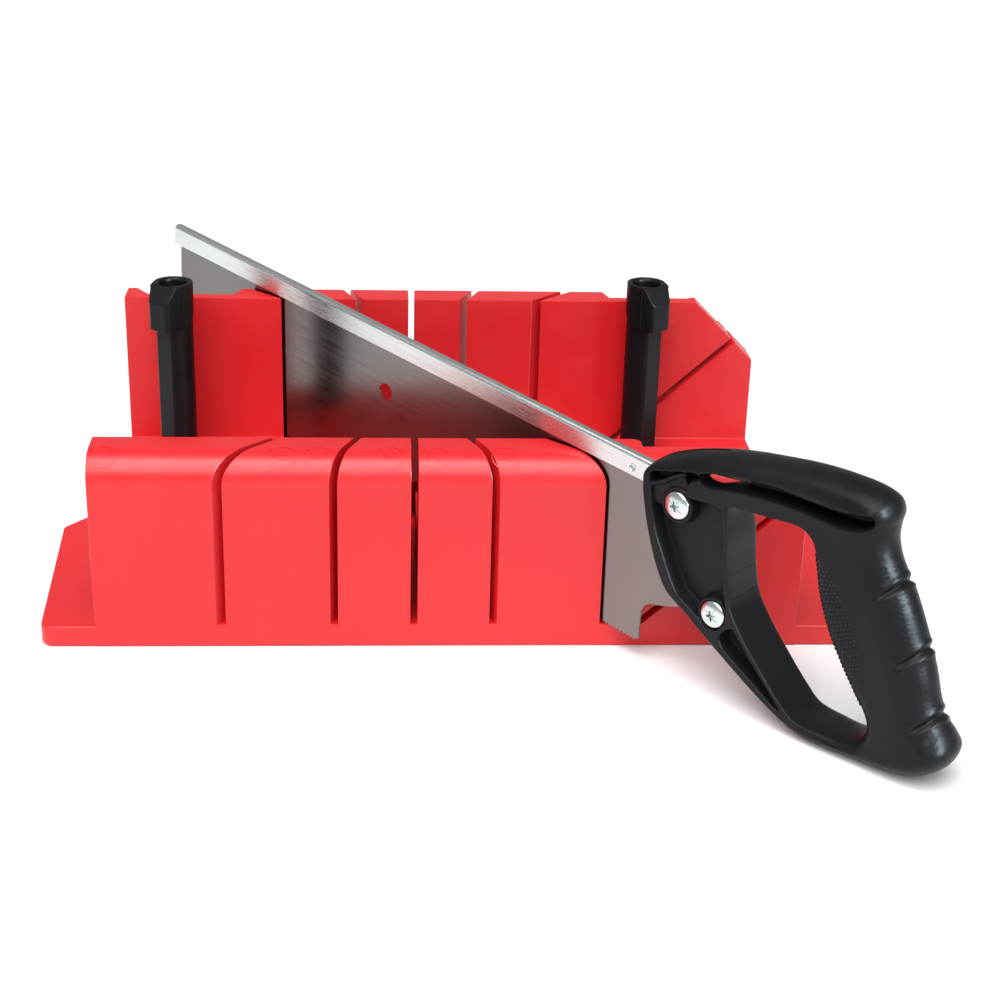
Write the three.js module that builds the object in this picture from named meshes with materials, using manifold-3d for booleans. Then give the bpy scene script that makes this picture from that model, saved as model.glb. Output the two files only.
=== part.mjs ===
// Miter box saw: a moulded miter box, two cam clamp posts in its bed, and a back saw standing in
// its 45 degree slot. Millimetres, +Z up, +X to the right along the box, +Y from front wall to fence.
// While it is drawn, X = 0 is the square-cut slot, Y = 0 the front face and Z = 0 the bench; the
// finished group is moved so that its origin is the bottom centre of its bounding box.

import * as THREE from 'three';
import { mergeVertices } from 'three/addons/utils/BufferGeometryUtils.js';
import Module from 'manifold-3d';

const wasm = await Module();
wasm.setup();

// ---------------------------------------------------------------------------- driving dimensions

const GAP = 0.3; // clearance between pieces that touch
const FAR = 400; // how far a cutter runs past the part

// miter box
const LEFT = -160;
const RIGHT = 196;
const MIDDLE = (LEFT + RIGHT) / 2;
const WALL_TOP = 102.5; // front wall
const WALL_DEPTH = 28.5;
const THIN_WALL_DEPTH = 18; // front wall to the right of its step
const WALL_STEP = 114; // X where the front wall gets thinner
const WALL_ROUND = 15; // radius along the top of the front face
const FRONT_CHAMFER = 266; // X + Z on the front wall's sloping right end
const BED_TOP = 48.5;
const FENCE = 167.4; // Y of the fence face
const FENCE_TOP = 131.8;
const FENCE_BACK = 185.5; // back of the fence where it guides the saw
const FENCE_THIN = 174.5; // back of the fence elsewhere
const FENCE_CHAMFER = 293.4; // X + Z on the fence's sloping right end
const SKIN = 3.5; // moulding wall thickness

// base flange
const FLANGE_TOP = 11;
const FLANGE_CORNER = 7;
const FLANGE_FRONT = -187.5; // left end at the front
const FLANGE_WIDE = -194; // left end where it is widest
const FLANGE_WIDE_Y = 122;

// saw slots
const SLOT_WIDTH = 3.3;
const SLOT_SLOPES = [0, Math.SQRT2 - 1, 1 - Math.SQRT2, 1, -1]; // tangents of 0, 22.5 and 45 degrees
const SLOT_CROSSING = 97.1; // Y where all the vertical slots cross
const SLOT_FLOOR_FRONT = 12.2;
const SLOT_FLOOR_BACK = 44;
const SLOT_SKIN = 3; // moulded wall either side of a slot
const BEVEL_WIDTH = 4.8; // width of the leaning slot, measured along X
const BEVEL_X = 100.2; // the leaning slot's X at Y = 0, Z = 0
const BEVEL_PER_Z = 1.093; // how far it moves in X for each millimetre of height
const BEVEL_PER_Y = -0.209; // and for each millimetre of depth

// clamp post holes: four in each column, running forward from the fence
const HOLE_RADIUS = 5.3;
const SOCKET_RADIUS = 8;
const SOCKET_BOTTOM = 24.5;
const HOLE_PITCH = 25;
const HOLES_IN_COLUMN = 4;
const HOLE_COLUMNS = [
  { x: -130, y: 147, lean: 0 },
  { x: -102, y: 151.5, lean: 0 },
  { x: 102, y: 149, lean: 0 },
  { x: 130, y: 153.5, lean: -BEVEL_PER_Y },
];

// clamp posts
const PIN_RADIUS = 5;
const PIN_BOTTOM = 28;
const PIN_TOP = 110;
const POST_RADIUS = 10;
const POST_FLAT = 1.2; // depth of the flat on the post
const POST_OFFSET = 3; // the post's centre stands this far in front of its pin
const FLAT_ANGLE = 38; // degrees that the flat turns outward from straight ahead
const CAP_BOTTOM = 120;
const CAP_TOP = 148;
const CAP_RADIUS = 10.7;
const CAP_RECESS_RADIUS = 7.5;
const CAP_RECESS_DEPTH = 12;
const CAP_SOCKET_DEPTH = 10; // how far the post's neck goes up into the cap
const BEAK_ANGLE = 30; // degrees that the beak turns outward from straight ahead
const BEAK_REACH = 15;
const BEAK_HALF_WIDTH = 7;
const BEAK_DROP = 9.5; // the beak's tip is this much lower than the ring

// saw; in its own frame +X runs from the toe back to the handle, +Y up, +Z out of the near side
const SAW_ORIGIN = [SLOT_CROSSING, 0, 100.2]; // underside of the spine over the front face
const SAW_YAW = -45;
const SAW_TILT = -7.7;
const BLADE_THICKNESS = 0.9;
const BLADE_TOP = 6.4; // upper edge, inside the spine
const TOOTH_LINE = -86.5;
const TOOTH_PITCH = 2.3;
const TOOTH_DEPTH = 1.5;
const TOE_TOP = -330;
const TOE_BOTTOM = -322;
const HEEL = 33.5;
const HANG_HOLE = { x: -155.5, y: -24.3, radius: 4.75 };
const SPINE_START = -333;
const SPINE_END = 30;
const SPINE_BOTTOM = 0.2;
const SPINE_TOP = 11.8;
const SPINE_HALF = 2.8;
const HANDLE_HALF = 13;
const HANDLE_EDGE = 2.5; // bevel round every edge of the handle
const WEB_HALF = 6; // half thickness of the handle between its ribs
const SCREWS = { upper: [48, 2.2], lower: [79.4, -42.8] };
const SCREW_HEAD_RADIUS = 7.1;
const SCREW_SEAT = 10.5; // distance from the blade to each seat of a screw head
const SCREW_RADIUS = 2.2;
const NUT_RADIUS = 4;
const NUT_REACH = 6;

// ------------------------------------------------------------------------------------ materials

const redPlastic = () => new THREE.MeshStandardMaterial({ color: 0xe8252c, roughness: 0.4, metalness: 0 });
const blackPlastic = () => new THREE.MeshStandardMaterial({ color: 0x1c1c1e, roughness: 0.45, metalness: 0 });
const bladeSteel = () => new THREE.MeshStandardMaterial({ color: 0x8a8380, roughness: 0.35, metalness: 1 });
const brightSteel = () => new THREE.MeshStandardMaterial({ color: 0xc4cbca, roughness: 0.25, metalness: 1 });
const zincSteel = () => new THREE.MeshStandardMaterial({ color: 0xb9c6c8, roughness: 0.3, metalness: 1 });

// ------------------------------------------------------------------------------------ solids

const degrees = THREE.MathUtils.degToRad;

/** A closed geometry as a solid that can be joined and cut. */
function toSolid(geometry, matrix = new THREE.Matrix4()) {
  const bare = geometry.clone().applyMatrix4(matrix);
  bare.deleteAttribute('normal');
  bare.deleteAttribute('uv');
  const merged = mergeVertices(bare, 1e-4);
  const mesh = new wasm.Mesh({
    numProp: 3,
    vertProperties: new Float32Array(merged.attributes.position.array),
    triVerts: new Uint32Array(merged.index.array),
  });
  return new wasm.Manifold(mesh);
}

/** A solid as a named mesh. */
function toMesh(name, solid, material) {
  const data = solid.getMesh();
  const geometry = new THREE.BufferGeometry();
  geometry.setAttribute('position', new THREE.BufferAttribute(data.vertProperties, data.numProp));
  geometry.setIndex(new THREE.BufferAttribute(data.triVerts, 1));
  geometry.computeVertexNormals();
  const mesh = new THREE.Mesh(geometry, material);
  mesh.name = name;
  return mesh;
}

const join = (first, ...rest) => rest.reduce((total, solid) => total.add(solid), first);
const cut = (first, ...rest) => rest.reduce((total, solid) => total.subtract(solid), first);

const polygon = (points) => new THREE.Shape(points.map(([x, y]) => new THREE.Vector2(x, y)));

/** A shape in X and Y, pushed up Z from bottom to top. */
function pushUp(shape, bottom, top, curveSegments = 8) {
  const options = { depth: top - bottom, bevelEnabled: false, curveSegments };
  return toSolid(new THREE.ExtrudeGeometry(shape, options).translate(0, 0, bottom));
}

/** A shape drawn in Y and Z, pushed along X; `after` then shears or moves the solid. */
function pushAlongX(shape, from, to, after = new THREE.Matrix4()) {
  const options = { depth: to - from, bevelEnabled: false, curveSegments: 8 };
  const geometry = new THREE.ExtrudeGeometry(shape, options).translate(0, 0, from);
  const turn = new THREE.Matrix4().set(0, 0, 1, 0, 1, 0, 0, 0, 0, 1, 0, 0, 0, 0, 0, 1);
  return toSolid(geometry.applyMatrix4(turn), after);
}

/** A shape drawn in X and Z, pushed along Y; `after` then moves the solid. */
function pushAlongY(shape, from, to, after = new THREE.Matrix4()) {
  const options = { depth: to - from, bevelEnabled: false };
  const geometry = new THREE.ExtrudeGeometry(shape, options).translate(0, 0, -to);
  const turn = new THREE.Matrix4().set(1, 0, 0, 0, 0, 0, -1, 0, 0, 1, 0, 0, 0, 0, 0, 1);
  return toSolid(geometry.applyMatrix4(turn), after);
}

function block(x0, x1, y0, y1, z0, z1) {
  const geometry = new THREE.BoxGeometry(x1 - x0, y1 - y0, z1 - z0);
  return toSolid(geometry.translate((x0 + x1) / 2, (y0 + y1) / 2, (z0 + z1) / 2));
}

function upright(x, y, radius, z0, z1, segments = 20) {
  const geometry = new THREE.CylinderGeometry(radius, radius, z1 - z0, segments);
  geometry.rotateX(Math.PI / 2).translate(x, y, (z0 + z1) / 2);
  return toSolid(geometry);
}

// ------------------------------------------------------------------------------------ miter box

/** Front wall section in Y and Z, with its rounded front top edge. */
function wallSection(inset, back, top) {
  const shape = new THREE.Shape();
  shape.moveTo(inset, -inset);
  shape.lineTo(back, -inset);
  shape.lineTo(back, top);
  shape.lineTo(WALL_ROUND, top);
  shape.absarc(WALL_ROUND, WALL_TOP - WALL_ROUND, WALL_ROUND - inset, Math.PI / 2, Math.PI, false);
  return shape;
}

/** What lies beyond a slope on which X + Z is `sum`. */
function beyondSlope(sum, y0, y1) {
  return pushAlongY(polygon([[sum, 0], [sum + FAR, 0], [sum + FAR, FAR], [sum - FAR, FAR]]), y0, y1);
}

function frontWall() {
  const plan = new THREE.Shape();
  plan.moveTo(LEFT, 0);
  plan.lineTo(RIGHT, 0);
  plan.lineTo(RIGHT, THIN_WALL_DEPTH);
  plan.lineTo(WALL_STEP, THIN_WALL_DEPTH);
  plan.absarc(WALL_STEP - 5, WALL_DEPTH - 5, 5, 0, Math.PI / 2, false);
  plan.lineTo(LEFT, WALL_DEPTH);
  const bar = pushAlongX(wallSection(0, WALL_DEPTH, WALL_TOP), LEFT, RIGHT);
  return cut(bar.intersect(pushUp(plan, 0, WALL_TOP)), beyondSlope(FRONT_CHAMFER, -1, FENCE / 2));
}

function frontWallCores() {
  const top = WALL_TOP - SKIN;
  const thick = pushAlongX(wallSection(SKIN, WALL_DEPTH - SKIN, top), LEFT + SKIN, WALL_STEP - SKIN);
  const right = pushAlongX(wallSection(SKIN, WALL_DEPTH - SKIN, top), WALL_STEP - SKIN, RIGHT - SKIN);
  const thin = right.intersect(block(0, RIGHT, 0, THIN_WALL_DEPTH - SKIN, -FAR, FAR));
  return join(thick, cut(thin, beyondSlope(FRONT_CHAMFER - SKIN * Math.SQRT2, -1, FENCE / 2)));
}

/** Recesses in the back of the fence; the right-hand one stays above the leaning slot. */
function fenceRecesses(grow) {
  const back = FENCE_BACK + grow;
  const front = FENCE_THIN - grow;
  const left = polygon([
    [-154.5 - grow, FAR],
    [-154.5 - grow, back],
    [-147.5 - grow, front],
    [-99.7 + grow, front],
    [-95.7 + grow, back],
    [-95.7 + grow, FAR],
  ]);
  const right = polygon([
    [109.9 - grow, FAR],
    [109.9 - grow, back],
    [112.8 - grow, front],
    [157 + grow, front],
    [160 + grow, front + 2],
    [FAR, front + 2],
    [FAR, FAR],
  ]);
  const slotTop = (x) => (x - BEVEL_X - BEVEL_PER_Y * FENCE_BACK) / BEVEL_PER_Z + SLOT_SKIN + 6 - grow;
  const aboveSlot = polygon([[0, slotTop(0)], [FAR, slotTop(FAR)], [0, FAR]]);
  return join(pushUp(left, -1, FAR), pushUp(right, -1, FAR).intersect(pushAlongY(aboveSlot, 0, FAR)));
}

function fenceWall() {
  const slab = block(LEFT, RIGHT, FENCE, FENCE_BACK, 0, FENCE_TOP);
  return cut(slab, beyondSlope(FENCE_CHAMFER, FENCE / 2, FAR), fenceRecesses(0));
}

/** Hollow of the fence, open below. */
function fenceCore() {
  const core = block(LEFT + SKIN, RIGHT - SKIN, FENCE + SKIN, FENCE_BACK - SKIN, -1, FENCE_TOP - SKIN);
  return cut(core, beyondSlope(FENCE_CHAMFER - SKIN * Math.SQRT2, FENCE / 2, FAR), fenceRecesses(SKIN));
}

const mirrorX = (x) => 2 * MIDDLE - x;

/** Base flange seen from above; its front corners are round and its back corners cut off. */
function flangePlan() {
  const plan = new THREE.Shape();
  plan.moveTo(FLANGE_FRONT + FLANGE_CORNER, 0);
  plan.lineTo(mirrorX(FLANGE_FRONT) - FLANGE_CORNER, 0);
  plan.absarc(mirrorX(FLANGE_FRONT) - FLANGE_CORNER, FLANGE_CORNER, FLANGE_CORNER, -Math.PI / 2, 0, false);
  plan.lineTo(mirrorX(FLANGE_WIDE), FLANGE_WIDE_Y);
  plan.lineTo(RIGHT, FENCE);
  plan.lineTo(LEFT, FENCE);
  plan.lineTo(FLANGE_WIDE, FLANGE_WIDE_Y);
  plan.lineTo(FLANGE_FRONT, FLANGE_CORNER);
  plan.absarc(FLANGE_FRONT + FLANGE_CORNER, FLANGE_CORNER, FLANGE_CORNER, Math.PI, 1.5 * Math.PI, false);
  return plan;
}

/** Shallow pocket under one end flange; `place` puts the left-hand X on either side. */
function flangePocket(place) {
  const corners = [
    [FLANGE_FRONT + SKIN, FLANGE_CORNER],
    [LEFT - SKIN, SKIN],
    [LEFT - SKIN, FENCE - 3 * SKIN],
    [FLANGE_WIDE + SKIN, FLANGE_WIDE_Y],
  ];
  const outline = corners.map(([x, y]) => [place(x), y]);
  return pushUp(polygon(outline), -1, FLANGE_TOP - SKIN);
}

/** Side view of a slot in Y and Z: its floor is level at the front, then climbs to the fence. */
function slotSection(drop) {
  return polygon([
    [-FAR, SLOT_FLOOR_FRONT - drop],
    [WALL_DEPTH, SLOT_FLOOR_FRONT - drop],
    [FENCE, SLOT_FLOOR_BACK - drop],
    [FAR, SLOT_FLOOR_BACK - drop],
    [FAR, FAR],
    [-FAR, FAR],
  ]);
}

/** All saw slots as one cutter; `skin` makes it the slots with their moulded walls. */
function slots(skin) {
  const section = slotSection(skin);
  const upright = SLOT_SLOPES.map((slope) => {
    const half = (SLOT_WIDTH / 2 + skin) * Math.hypot(1, slope);
    const lean = new THREE.Matrix4();
    lean.set(1, -slope, 0, slope * SLOT_CROSSING, 0, 1, 0, 0, 0, 0, 1, 0, 0, 0, 0, 1);
    return pushAlongX(section, -half, half, lean);
  });
  const half = BEVEL_WIDTH / 2 + skin * Math.hypot(1, BEVEL_PER_Z);
  const lean = new THREE.Matrix4();
  lean.set(1, BEVEL_PER_Y, BEVEL_PER_Z, BEVEL_X, 0, 1, 0, 0, 0, 0, 1, 0, 0, 0, 0, 1);
  return join(pushAlongX(section, -half, half, lean), ...upright);
}

/** One solid cylinder at every post hole. */
function atEveryHole(radius, bottom, top, segments) {
  const solids = [];
  for (const column of HOLE_COLUMNS) {
    for (let i = 0; i < HOLES_IN_COLUMN; i += 1) {
      const forward = i * HOLE_PITCH;
      const x = column.x + column.lean * forward;
      solids.push(upright(x, column.y - forward, radius, bottom, top, segments));
    }
  }
  return join(...solids);
}

function miterBox() {
  const bed = block(LEFT, RIGHT, 0, FENCE + 1, 0, BED_TOP);
  const outside = join(pushUp(flangePlan(), 0, FLANGE_TOP), bed, frontWall(), fenceWall());
  const plate = BED_TOP - 4;
  const cores = join(
    block(LEFT + SKIN, RIGHT - SKIN, WALL_DEPTH, FENCE - SKIN, -1, plate),
    block(WALL_STEP + SKIN, RIGHT - SKIN, THIN_WALL_DEPTH, WALL_DEPTH + 1, -1, plate),
    frontWallCores(),
    fenceCore(),
  );
  const sockets = atEveryHole(SOCKET_RADIUS, SOCKET_BOTTOM, BED_TOP, 20);
  const holes = atEveryHole(HOLE_RADIUS, SOCKET_BOTTOM - 10, BED_TOP + 10, 20);
  const hollow = cut(cores, slots(SLOT_SKIN), sockets);
  const pockets = join(flangePocket((x) => x), flangePocket(mirrorX));
  return cut(outside, hollow, pockets, slots(0), holes);
}

// ------------------------------------------------------------------------------------ clamp posts

/** A direction in plan, turned outward from straight ahead by `angle` degrees. */
function aheadAndOut(side, angle) {
  return new THREE.Vector2(side * Math.sin(degrees(angle)), -Math.cos(degrees(angle)));
}

/** Round shaft with a flat, around the post's own centre. */
function shaftPlan(side) {
  const flat = aheadAndOut(side, FLAT_ANGLE).angle();
  const half = Math.acos(1 - POST_FLAT / POST_RADIUS);
  const plan = new THREE.Shape();
  plan.absarc(0, -POST_OFFSET, POST_RADIUS, flat + half, flat - half + 2 * Math.PI, false);
  return plan;
}

function pin() {
  return upright(0, 0, PIN_RADIUS, PIN_BOTTOM, PIN_TOP - GAP, 24);
}

function camPost(side) {
  const shaft = pushUp(shaftPlan(side), BED_TOP + GAP, CAP_BOTTOM - GAP, 16);
  const neckTop = CAP_BOTTOM + CAP_SOCKET_DEPTH - GAP;
  const neck = upright(0, -POST_OFFSET, CAP_RECESS_RADIUS - GAP, CAP_BOTTOM - 1, neckTop, 28);
  return cut(join(shaft, neck), upright(0, 0, PIN_RADIUS + GAP, 0, PIN_TOP, 24));
}

/** Ring with a beak that points ahead and out; the beak's top slopes down to its tip. */
function postCap(side) {
  const out = aheadAndOut(side, BEAK_ANGLE);
  const across = new THREE.Vector2(-out.y, out.x);
  const at = (reach, width) => {
    const point = out.clone().multiplyScalar(reach).addScaledVector(across, width);
    return [point.x, point.y - POST_OFFSET];
  };
  const shoulder = CAP_RADIUS * 0.98;
  const beakPlan = polygon([
    at(0, -shoulder),
    at(CAP_RADIUS * 0.45, -shoulder),
    at(BEAK_REACH, -BEAK_HALF_WIDTH),
    at(BEAK_REACH, BEAK_HALF_WIDTH),
    at(CAP_RADIUS * 0.45, shoulder),
    at(0, shoulder),
  ]);
  const slopeStart = CAP_RECESS_RADIUS + 1;
  const slope = polygon([
    [slopeStart, 0],
    [BEAK_REACH + 0.01, -BEAK_DROP],
    [FAR, -BEAK_DROP],
    [FAR, FAR],
    [slopeStart, FAR],
  ]);
  const toBeak = new THREE.Matrix4().makeRotationZ(out.angle()).setPosition(0, -POST_OFFSET, CAP_TOP);
  const slopeCutter = pushAlongY(slope, -FAR, FAR, toBeak);
  const ring = upright(0, -POST_OFFSET, CAP_RADIUS, CAP_BOTTOM, CAP_TOP, 32);
  const beak = pushUp(beakPlan, CAP_BOTTOM, CAP_TOP);
  const recess = upright(0, -POST_OFFSET, CAP_RECESS_RADIUS, CAP_TOP - CAP_RECESS_DEPTH, FAR, 28);
  const socket = upright(0, -POST_OFFSET, CAP_RECESS_RADIUS, 0, CAP_BOTTOM + CAP_SOCKET_DEPTH, 28);
  return cut(join(ring, beak), slopeCutter, recess, socket);
}

function clampPost(name, side, column) {
  const post = new THREE.Group();
  post.add(toMesh(`${name}_post_pin`, pin(), zincSteel()));
  post.add(toMesh(`${name}_cam_post`, camPost(side), blackPlastic()));
  post.add(toMesh(`${name}_post_cap`, postCap(side), blackPlastic()));
  post.position.set(column.x, column.y, 0);
  return post;
}

// ------------------------------------------------------------------------------------ saw

/** A shape in the saw's X and Y, given a thickness either side of the blade's middle. */
const slab = (shape, half) => pushUp(shape, -half, half);

/** A round bar across the saw at [x, y]. */
const across = ([x, y], radius, from, to, segments = 24) => upright(x, y, radius, from, to, segments);

function bladePlan() {
  const points = [[TOE_TOP, BLADE_TOP], [TOE_BOTTOM, TOOTH_LINE + TOOTH_DEPTH]];
  const teeth = Math.floor((HEEL - TOE_BOTTOM) / TOOTH_PITCH);
  for (let i = 0; i < teeth; i += 1) {
    const root = TOE_BOTTOM + i * TOOTH_PITCH;
    points.push([root + TOOTH_PITCH / 2, TOOTH_LINE]);
    points.push([root + TOOTH_PITCH, TOOTH_LINE + TOOTH_DEPTH]);
  }
  points.push([HEEL, TOOTH_LINE + TOOTH_DEPTH]);
  points.push([32.2, -68.8], [33.7, -64.8], [36.6, -62.3], [39.7, -61.5], [52, -56.5]); // heel notch
  points.push([58, -46], [88, -50.5], [90, -46], [90, -36], [60, -1], [58, 9], [31, 9]); // tail in the handle
  points.push([31, BLADE_TOP]);
  return polygon(points);
}

function blade() {
  const plate = slab(bladePlan(), BLADE_THICKNESS / 2);
  const hang = across([HANG_HOLE.x, HANG_HOLE.y], HANG_HOLE.radius, -FAR, FAR);
  const screwHoles = Object.values(SCREWS).map((place) => across(place, NUT_RADIUS + 0.7, -FAR, FAR));
  return cut(plate, hang, ...screwHoles);
}

/** Folded strip over the top of the blade, open below. */
function spine() {
  const slit = BLADE_THICKNESS / 2 + GAP;
  const roof = BLADE_TOP + GAP;
  const section = new THREE.Shape();
  section.moveTo(slit, SPINE_BOTTOM);
  section.lineTo(SPINE_HALF, SPINE_BOTTOM);
  section.absarc(0, SPINE_TOP - SPINE_HALF, SPINE_HALF, 0, Math.PI, false);
  section.lineTo(-SPINE_HALF, SPINE_BOTTOM);
  section.lineTo(-slit, SPINE_BOTTOM);
  section.lineTo(-slit, roof);
  section.lineTo(slit, roof);
  const options = { depth: SPINE_END - SPINE_START, bevelEnabled: false, curveSegments: 6 };
  const geometry = new THREE.ExtrudeGeometry(section, options);
  geometry.rotateY(Math.PI / 2).translate(SPINE_START, 0, 0);
  return toSolid(geometry);
}

function smoothLoop(points) {
  const [first, ...rest] = points.map(([x, y]) => new THREE.Vector2(x, y));
  const shape = new THREE.Shape();
  shape.moveTo(first.x, first.y);
  shape.splineThru([...rest, first]);
  return shape;
}

/** Side view of the handle: cheek, lower strut, butt, grip and wing, round the finger opening. */
function handlePlan() {
  const plan = smoothLoop([
    [22.6, 8.5], [27.6, -1.5], [33.5, -16.8], [42.3, -33.7], [50, -44], [64, -49.5], // front of the cheek
    [77, -54.5], [96.6, -63.2], [112.4, -70.2], [127, -76], [138, -79], [150, -78.5], // lower strut
    [167, -76], [180, -74], [192, -71], [201, -66.5], [207.5, -59], [208.8, -51.5], [204.8, -46.2], // butt
    [200, -42], [194.9, -33.9], [189.9, -22.3], [182.4, -9], [170.6, 9.6], [160.5, 20.5], // grip back
    [156.3, 29.5], [155.2, 37], [155, 43.5], [150.8, 49], [143.9, 51.2], [132.7, 51], // top
    [112.4, 48.7], [89.9, 43.3], [68.1, 36.9], [47.6, 28.4], [33, 21.4], [25, 15.4],
  ]);
  plan.holes.push(smoothLoop([
    [76.2, 12], [79.5, -4], [82.6, -18], [88, -33.5], [97.5, -44.5], [110, -55.5], [126.4, -68], // strut side
    [136, -72.5], [148, -71.5], [160, -68.5], [166.5, -63.5], [166.5, -55.5], // lower end
    [158, -44.5], [150, -33], [142.5, -21.5], [134, -5.5], [127.5, 10.5], [121.5, 18.5], [113, 20.8], // grip side
    [98, 18.4], [83, 15.6],
  ]));
  return plan;
}

/** What is hollowed out of one side of the handle, between two distances from the blade. */
function handleRecesses(from, to) {
  const cheek = smoothLoop([
    [35, 4], [38, -11], [45, -26], [54, -38], [66, -43.5], [76, -41], [81.5, -32], [77, -17], [74, -4], [71, 9],
    [52, 10], [42, 12],
  ]);
  const strut = smoothLoop([[92, -48], [101, -51.5], [112, -61.5], [122, -69.5], [114, -67.5], [99, -60.5]]);
  const underWing = smoothLoop([
    [58, 22.5], [80, 28], [100, 32.5], [128, 35.5], [145, 39.5], [146, 36], [133, 31.5], [110, 31.5], [80, 25],
  ]);
  const bosses = Object.values(SCREWS).map((place) => across(place, SCREW_HEAD_RADIUS + 2, -FAR, FAR));
  const windows = [cheek, strut, underWing].map((shape) => pushUp(shape, from, to, 3));
  return cut(join(...windows), ...bosses);
}

function handle() {
  const body = new THREE.ExtrudeGeometry(handlePlan(), {
    depth: 2 * (HANDLE_HALF - HANDLE_EDGE),
    bevelThickness: HANDLE_EDGE,
    bevelSize: HANDLE_EDGE,
    bevelOffset: -HANDLE_EDGE,
    bevelSegments: 2,
    curveSegments: 3,
  });
  body.translate(0, 0, HANDLE_EDGE - HANDLE_HALF);
  const near = handleRecesses(WEB_HALF, FAR);
  const far = handleRecesses(-FAR, -WEB_HALF);
  const bladeSlit = slab(
    polygon([[0, 9.3], [58.4, 9.3], [60.5, -1], [90.4, -36], [90.4, -51], [70, -49], [56, -60], [40, -75], [0, -75]]),
    BLADE_THICKNESS / 2 + GAP,
  );
  const spineSlot = block(
    0, SPINE_END + GAP, SPINE_BOTTOM - GAP, SPINE_TOP + GAP, -SPINE_HALF - GAP, SPINE_HALF + GAP,
  );
  const seats = Object.values(SCREWS).map((place) => join(
    across(place, SCREW_HEAD_RADIUS + GAP, SCREW_SEAT, FAR),
    across(place, SCREW_HEAD_RADIUS + GAP, -FAR, -SCREW_SEAT),
    across(place, NUT_RADIUS + GAP, -FAR, FAR),
  ));
  return cut(toSolid(body), near, far, bladeSlit, spineSlot, ...seats);
}

/** A turned profile of [radius, distance] pairs, spun about the saw's Z at [x, y]. */
function turned(profile, [x, y]) {
  const points = profile.map(([radius, distance]) => new THREE.Vector2(radius, distance));
  return toSolid(new THREE.LatheGeometry(points, 24).rotateX(Math.PI / 2).translate(x, y, 0));
}

function handleScrew(place) {
  const under = SCREW_SEAT + GAP;
  const head = turned([
    [0, -NUT_REACH],
    [SCREW_RADIUS, -NUT_REACH],
    [SCREW_RADIUS, under],
    [SCREW_HEAD_RADIUS, under],
    [SCREW_HEAD_RADIUS, under + 0.9],
    [SCREW_HEAD_RADIUS * 0.8, under + 1.9],
    [SCREW_HEAD_RADIUS * 0.45, under + 2.5],
    [0, under + 2.7],
  ], place);
  const [x, y] = place;
  const deep = under + 1.2;
  return cut(
    head,
    block(x - 3, x + 3, y - 0.6, y + 0.6, deep, FAR),
    block(x - 0.6, x + 0.6, y - 3, y + 3, deep, FAR),
  );
}

/** Sleeve nut that reaches in from the far side and takes the screw. */
function sleeveNut(place) {
  const under = -SCREW_SEAT - GAP;
  return turned([
    [0, under - 2.4],
    [SCREW_HEAD_RADIUS * 0.8, under - 1.9],
    [SCREW_HEAD_RADIUS, under - 0.9],
    [SCREW_HEAD_RADIUS, under],
    [NUT_RADIUS, under],
    [NUT_RADIUS, NUT_REACH],
    [SCREW_RADIUS + GAP, NUT_REACH],
    [SCREW_RADIUS + GAP, -NUT_REACH - GAP],
    [0, -NUT_REACH - GAP],
  ], place);
}

function saw() {
  const group = new THREE.Group();
  group.add(toMesh('saw_blade', blade(), bladeSteel()));
  group.add(toMesh('saw_spine', spine(), brightSteel()));
  group.add(toMesh('saw_handle', handle(), blackPlastic()));
  for (const [which, place] of Object.entries(SCREWS)) {
    group.add(toMesh(`handle_screw_${which}`, handleScrew(place), zincSteel()));
    group.add(toMesh(`handle_nut_${which}`, sleeveNut(place), zincSteel()));
  }
  group.position.fromArray(SAW_ORIGIN);
  return group;
}

/** Turns the saw's own frame into the box's: yawed into the 45 degree slot, toe raised. */
function placeSaw(group) {
  const yaw = degrees(SAW_YAW);
  const tilt = degrees(SAW_TILT);
  const back = new THREE.Vector3(Math.cos(yaw) * Math.cos(tilt), Math.sin(yaw) * Math.cos(tilt), Math.sin(tilt));
  const out = new THREE.Vector3(Math.sin(yaw), -Math.cos(yaw), 0);
  const up = new THREE.Vector3().crossVectors(out, back);
  group.quaternion.setFromRotationMatrix(new THREE.Matrix4().makeBasis(back, up, out));
  return group;
}

// ------------------------------------------------------------------------------------ assembly

const [leftColumn, , , rightColumn] = HOLE_COLUMNS;
const assembly = new THREE.Group();
assembly.add(toMesh('miter_box', miterBox(), redPlastic()));
assembly.add(clampPost('left', -1, leftColumn));
assembly.add(clampPost('right', 1, rightColumn));
assembly.add(placeSaw(saw()));
assembly.updateMatrixWorld(true);

const bounds = new THREE.Box3().setFromObject(assembly, true);
const centre = bounds.getCenter(new THREE.Vector3());
assembly.position.set(-centre.x, -centre.y, -bounds.min.z);

const miterBoxSaw = new THREE.Group();
miterBoxSaw.name = 'miter_box_saw';
miterBoxSaw.add(assembly);

export default miterBoxSaw;
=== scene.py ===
"""Miter box saw: the looks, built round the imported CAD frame.

Shapes are drawn in millimetres on the box's own axes (X = 0 at the square slot, Y = 0 at the front
face, Z = 0 at the bench) or on the saw's own axes, and are then placed in the frame in metres.
"""

import math

import bmesh
import bpy
import numpy as np
from mathutils import Matrix, Vector
from mathutils.geometry import delaunay_2d_cdt


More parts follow.
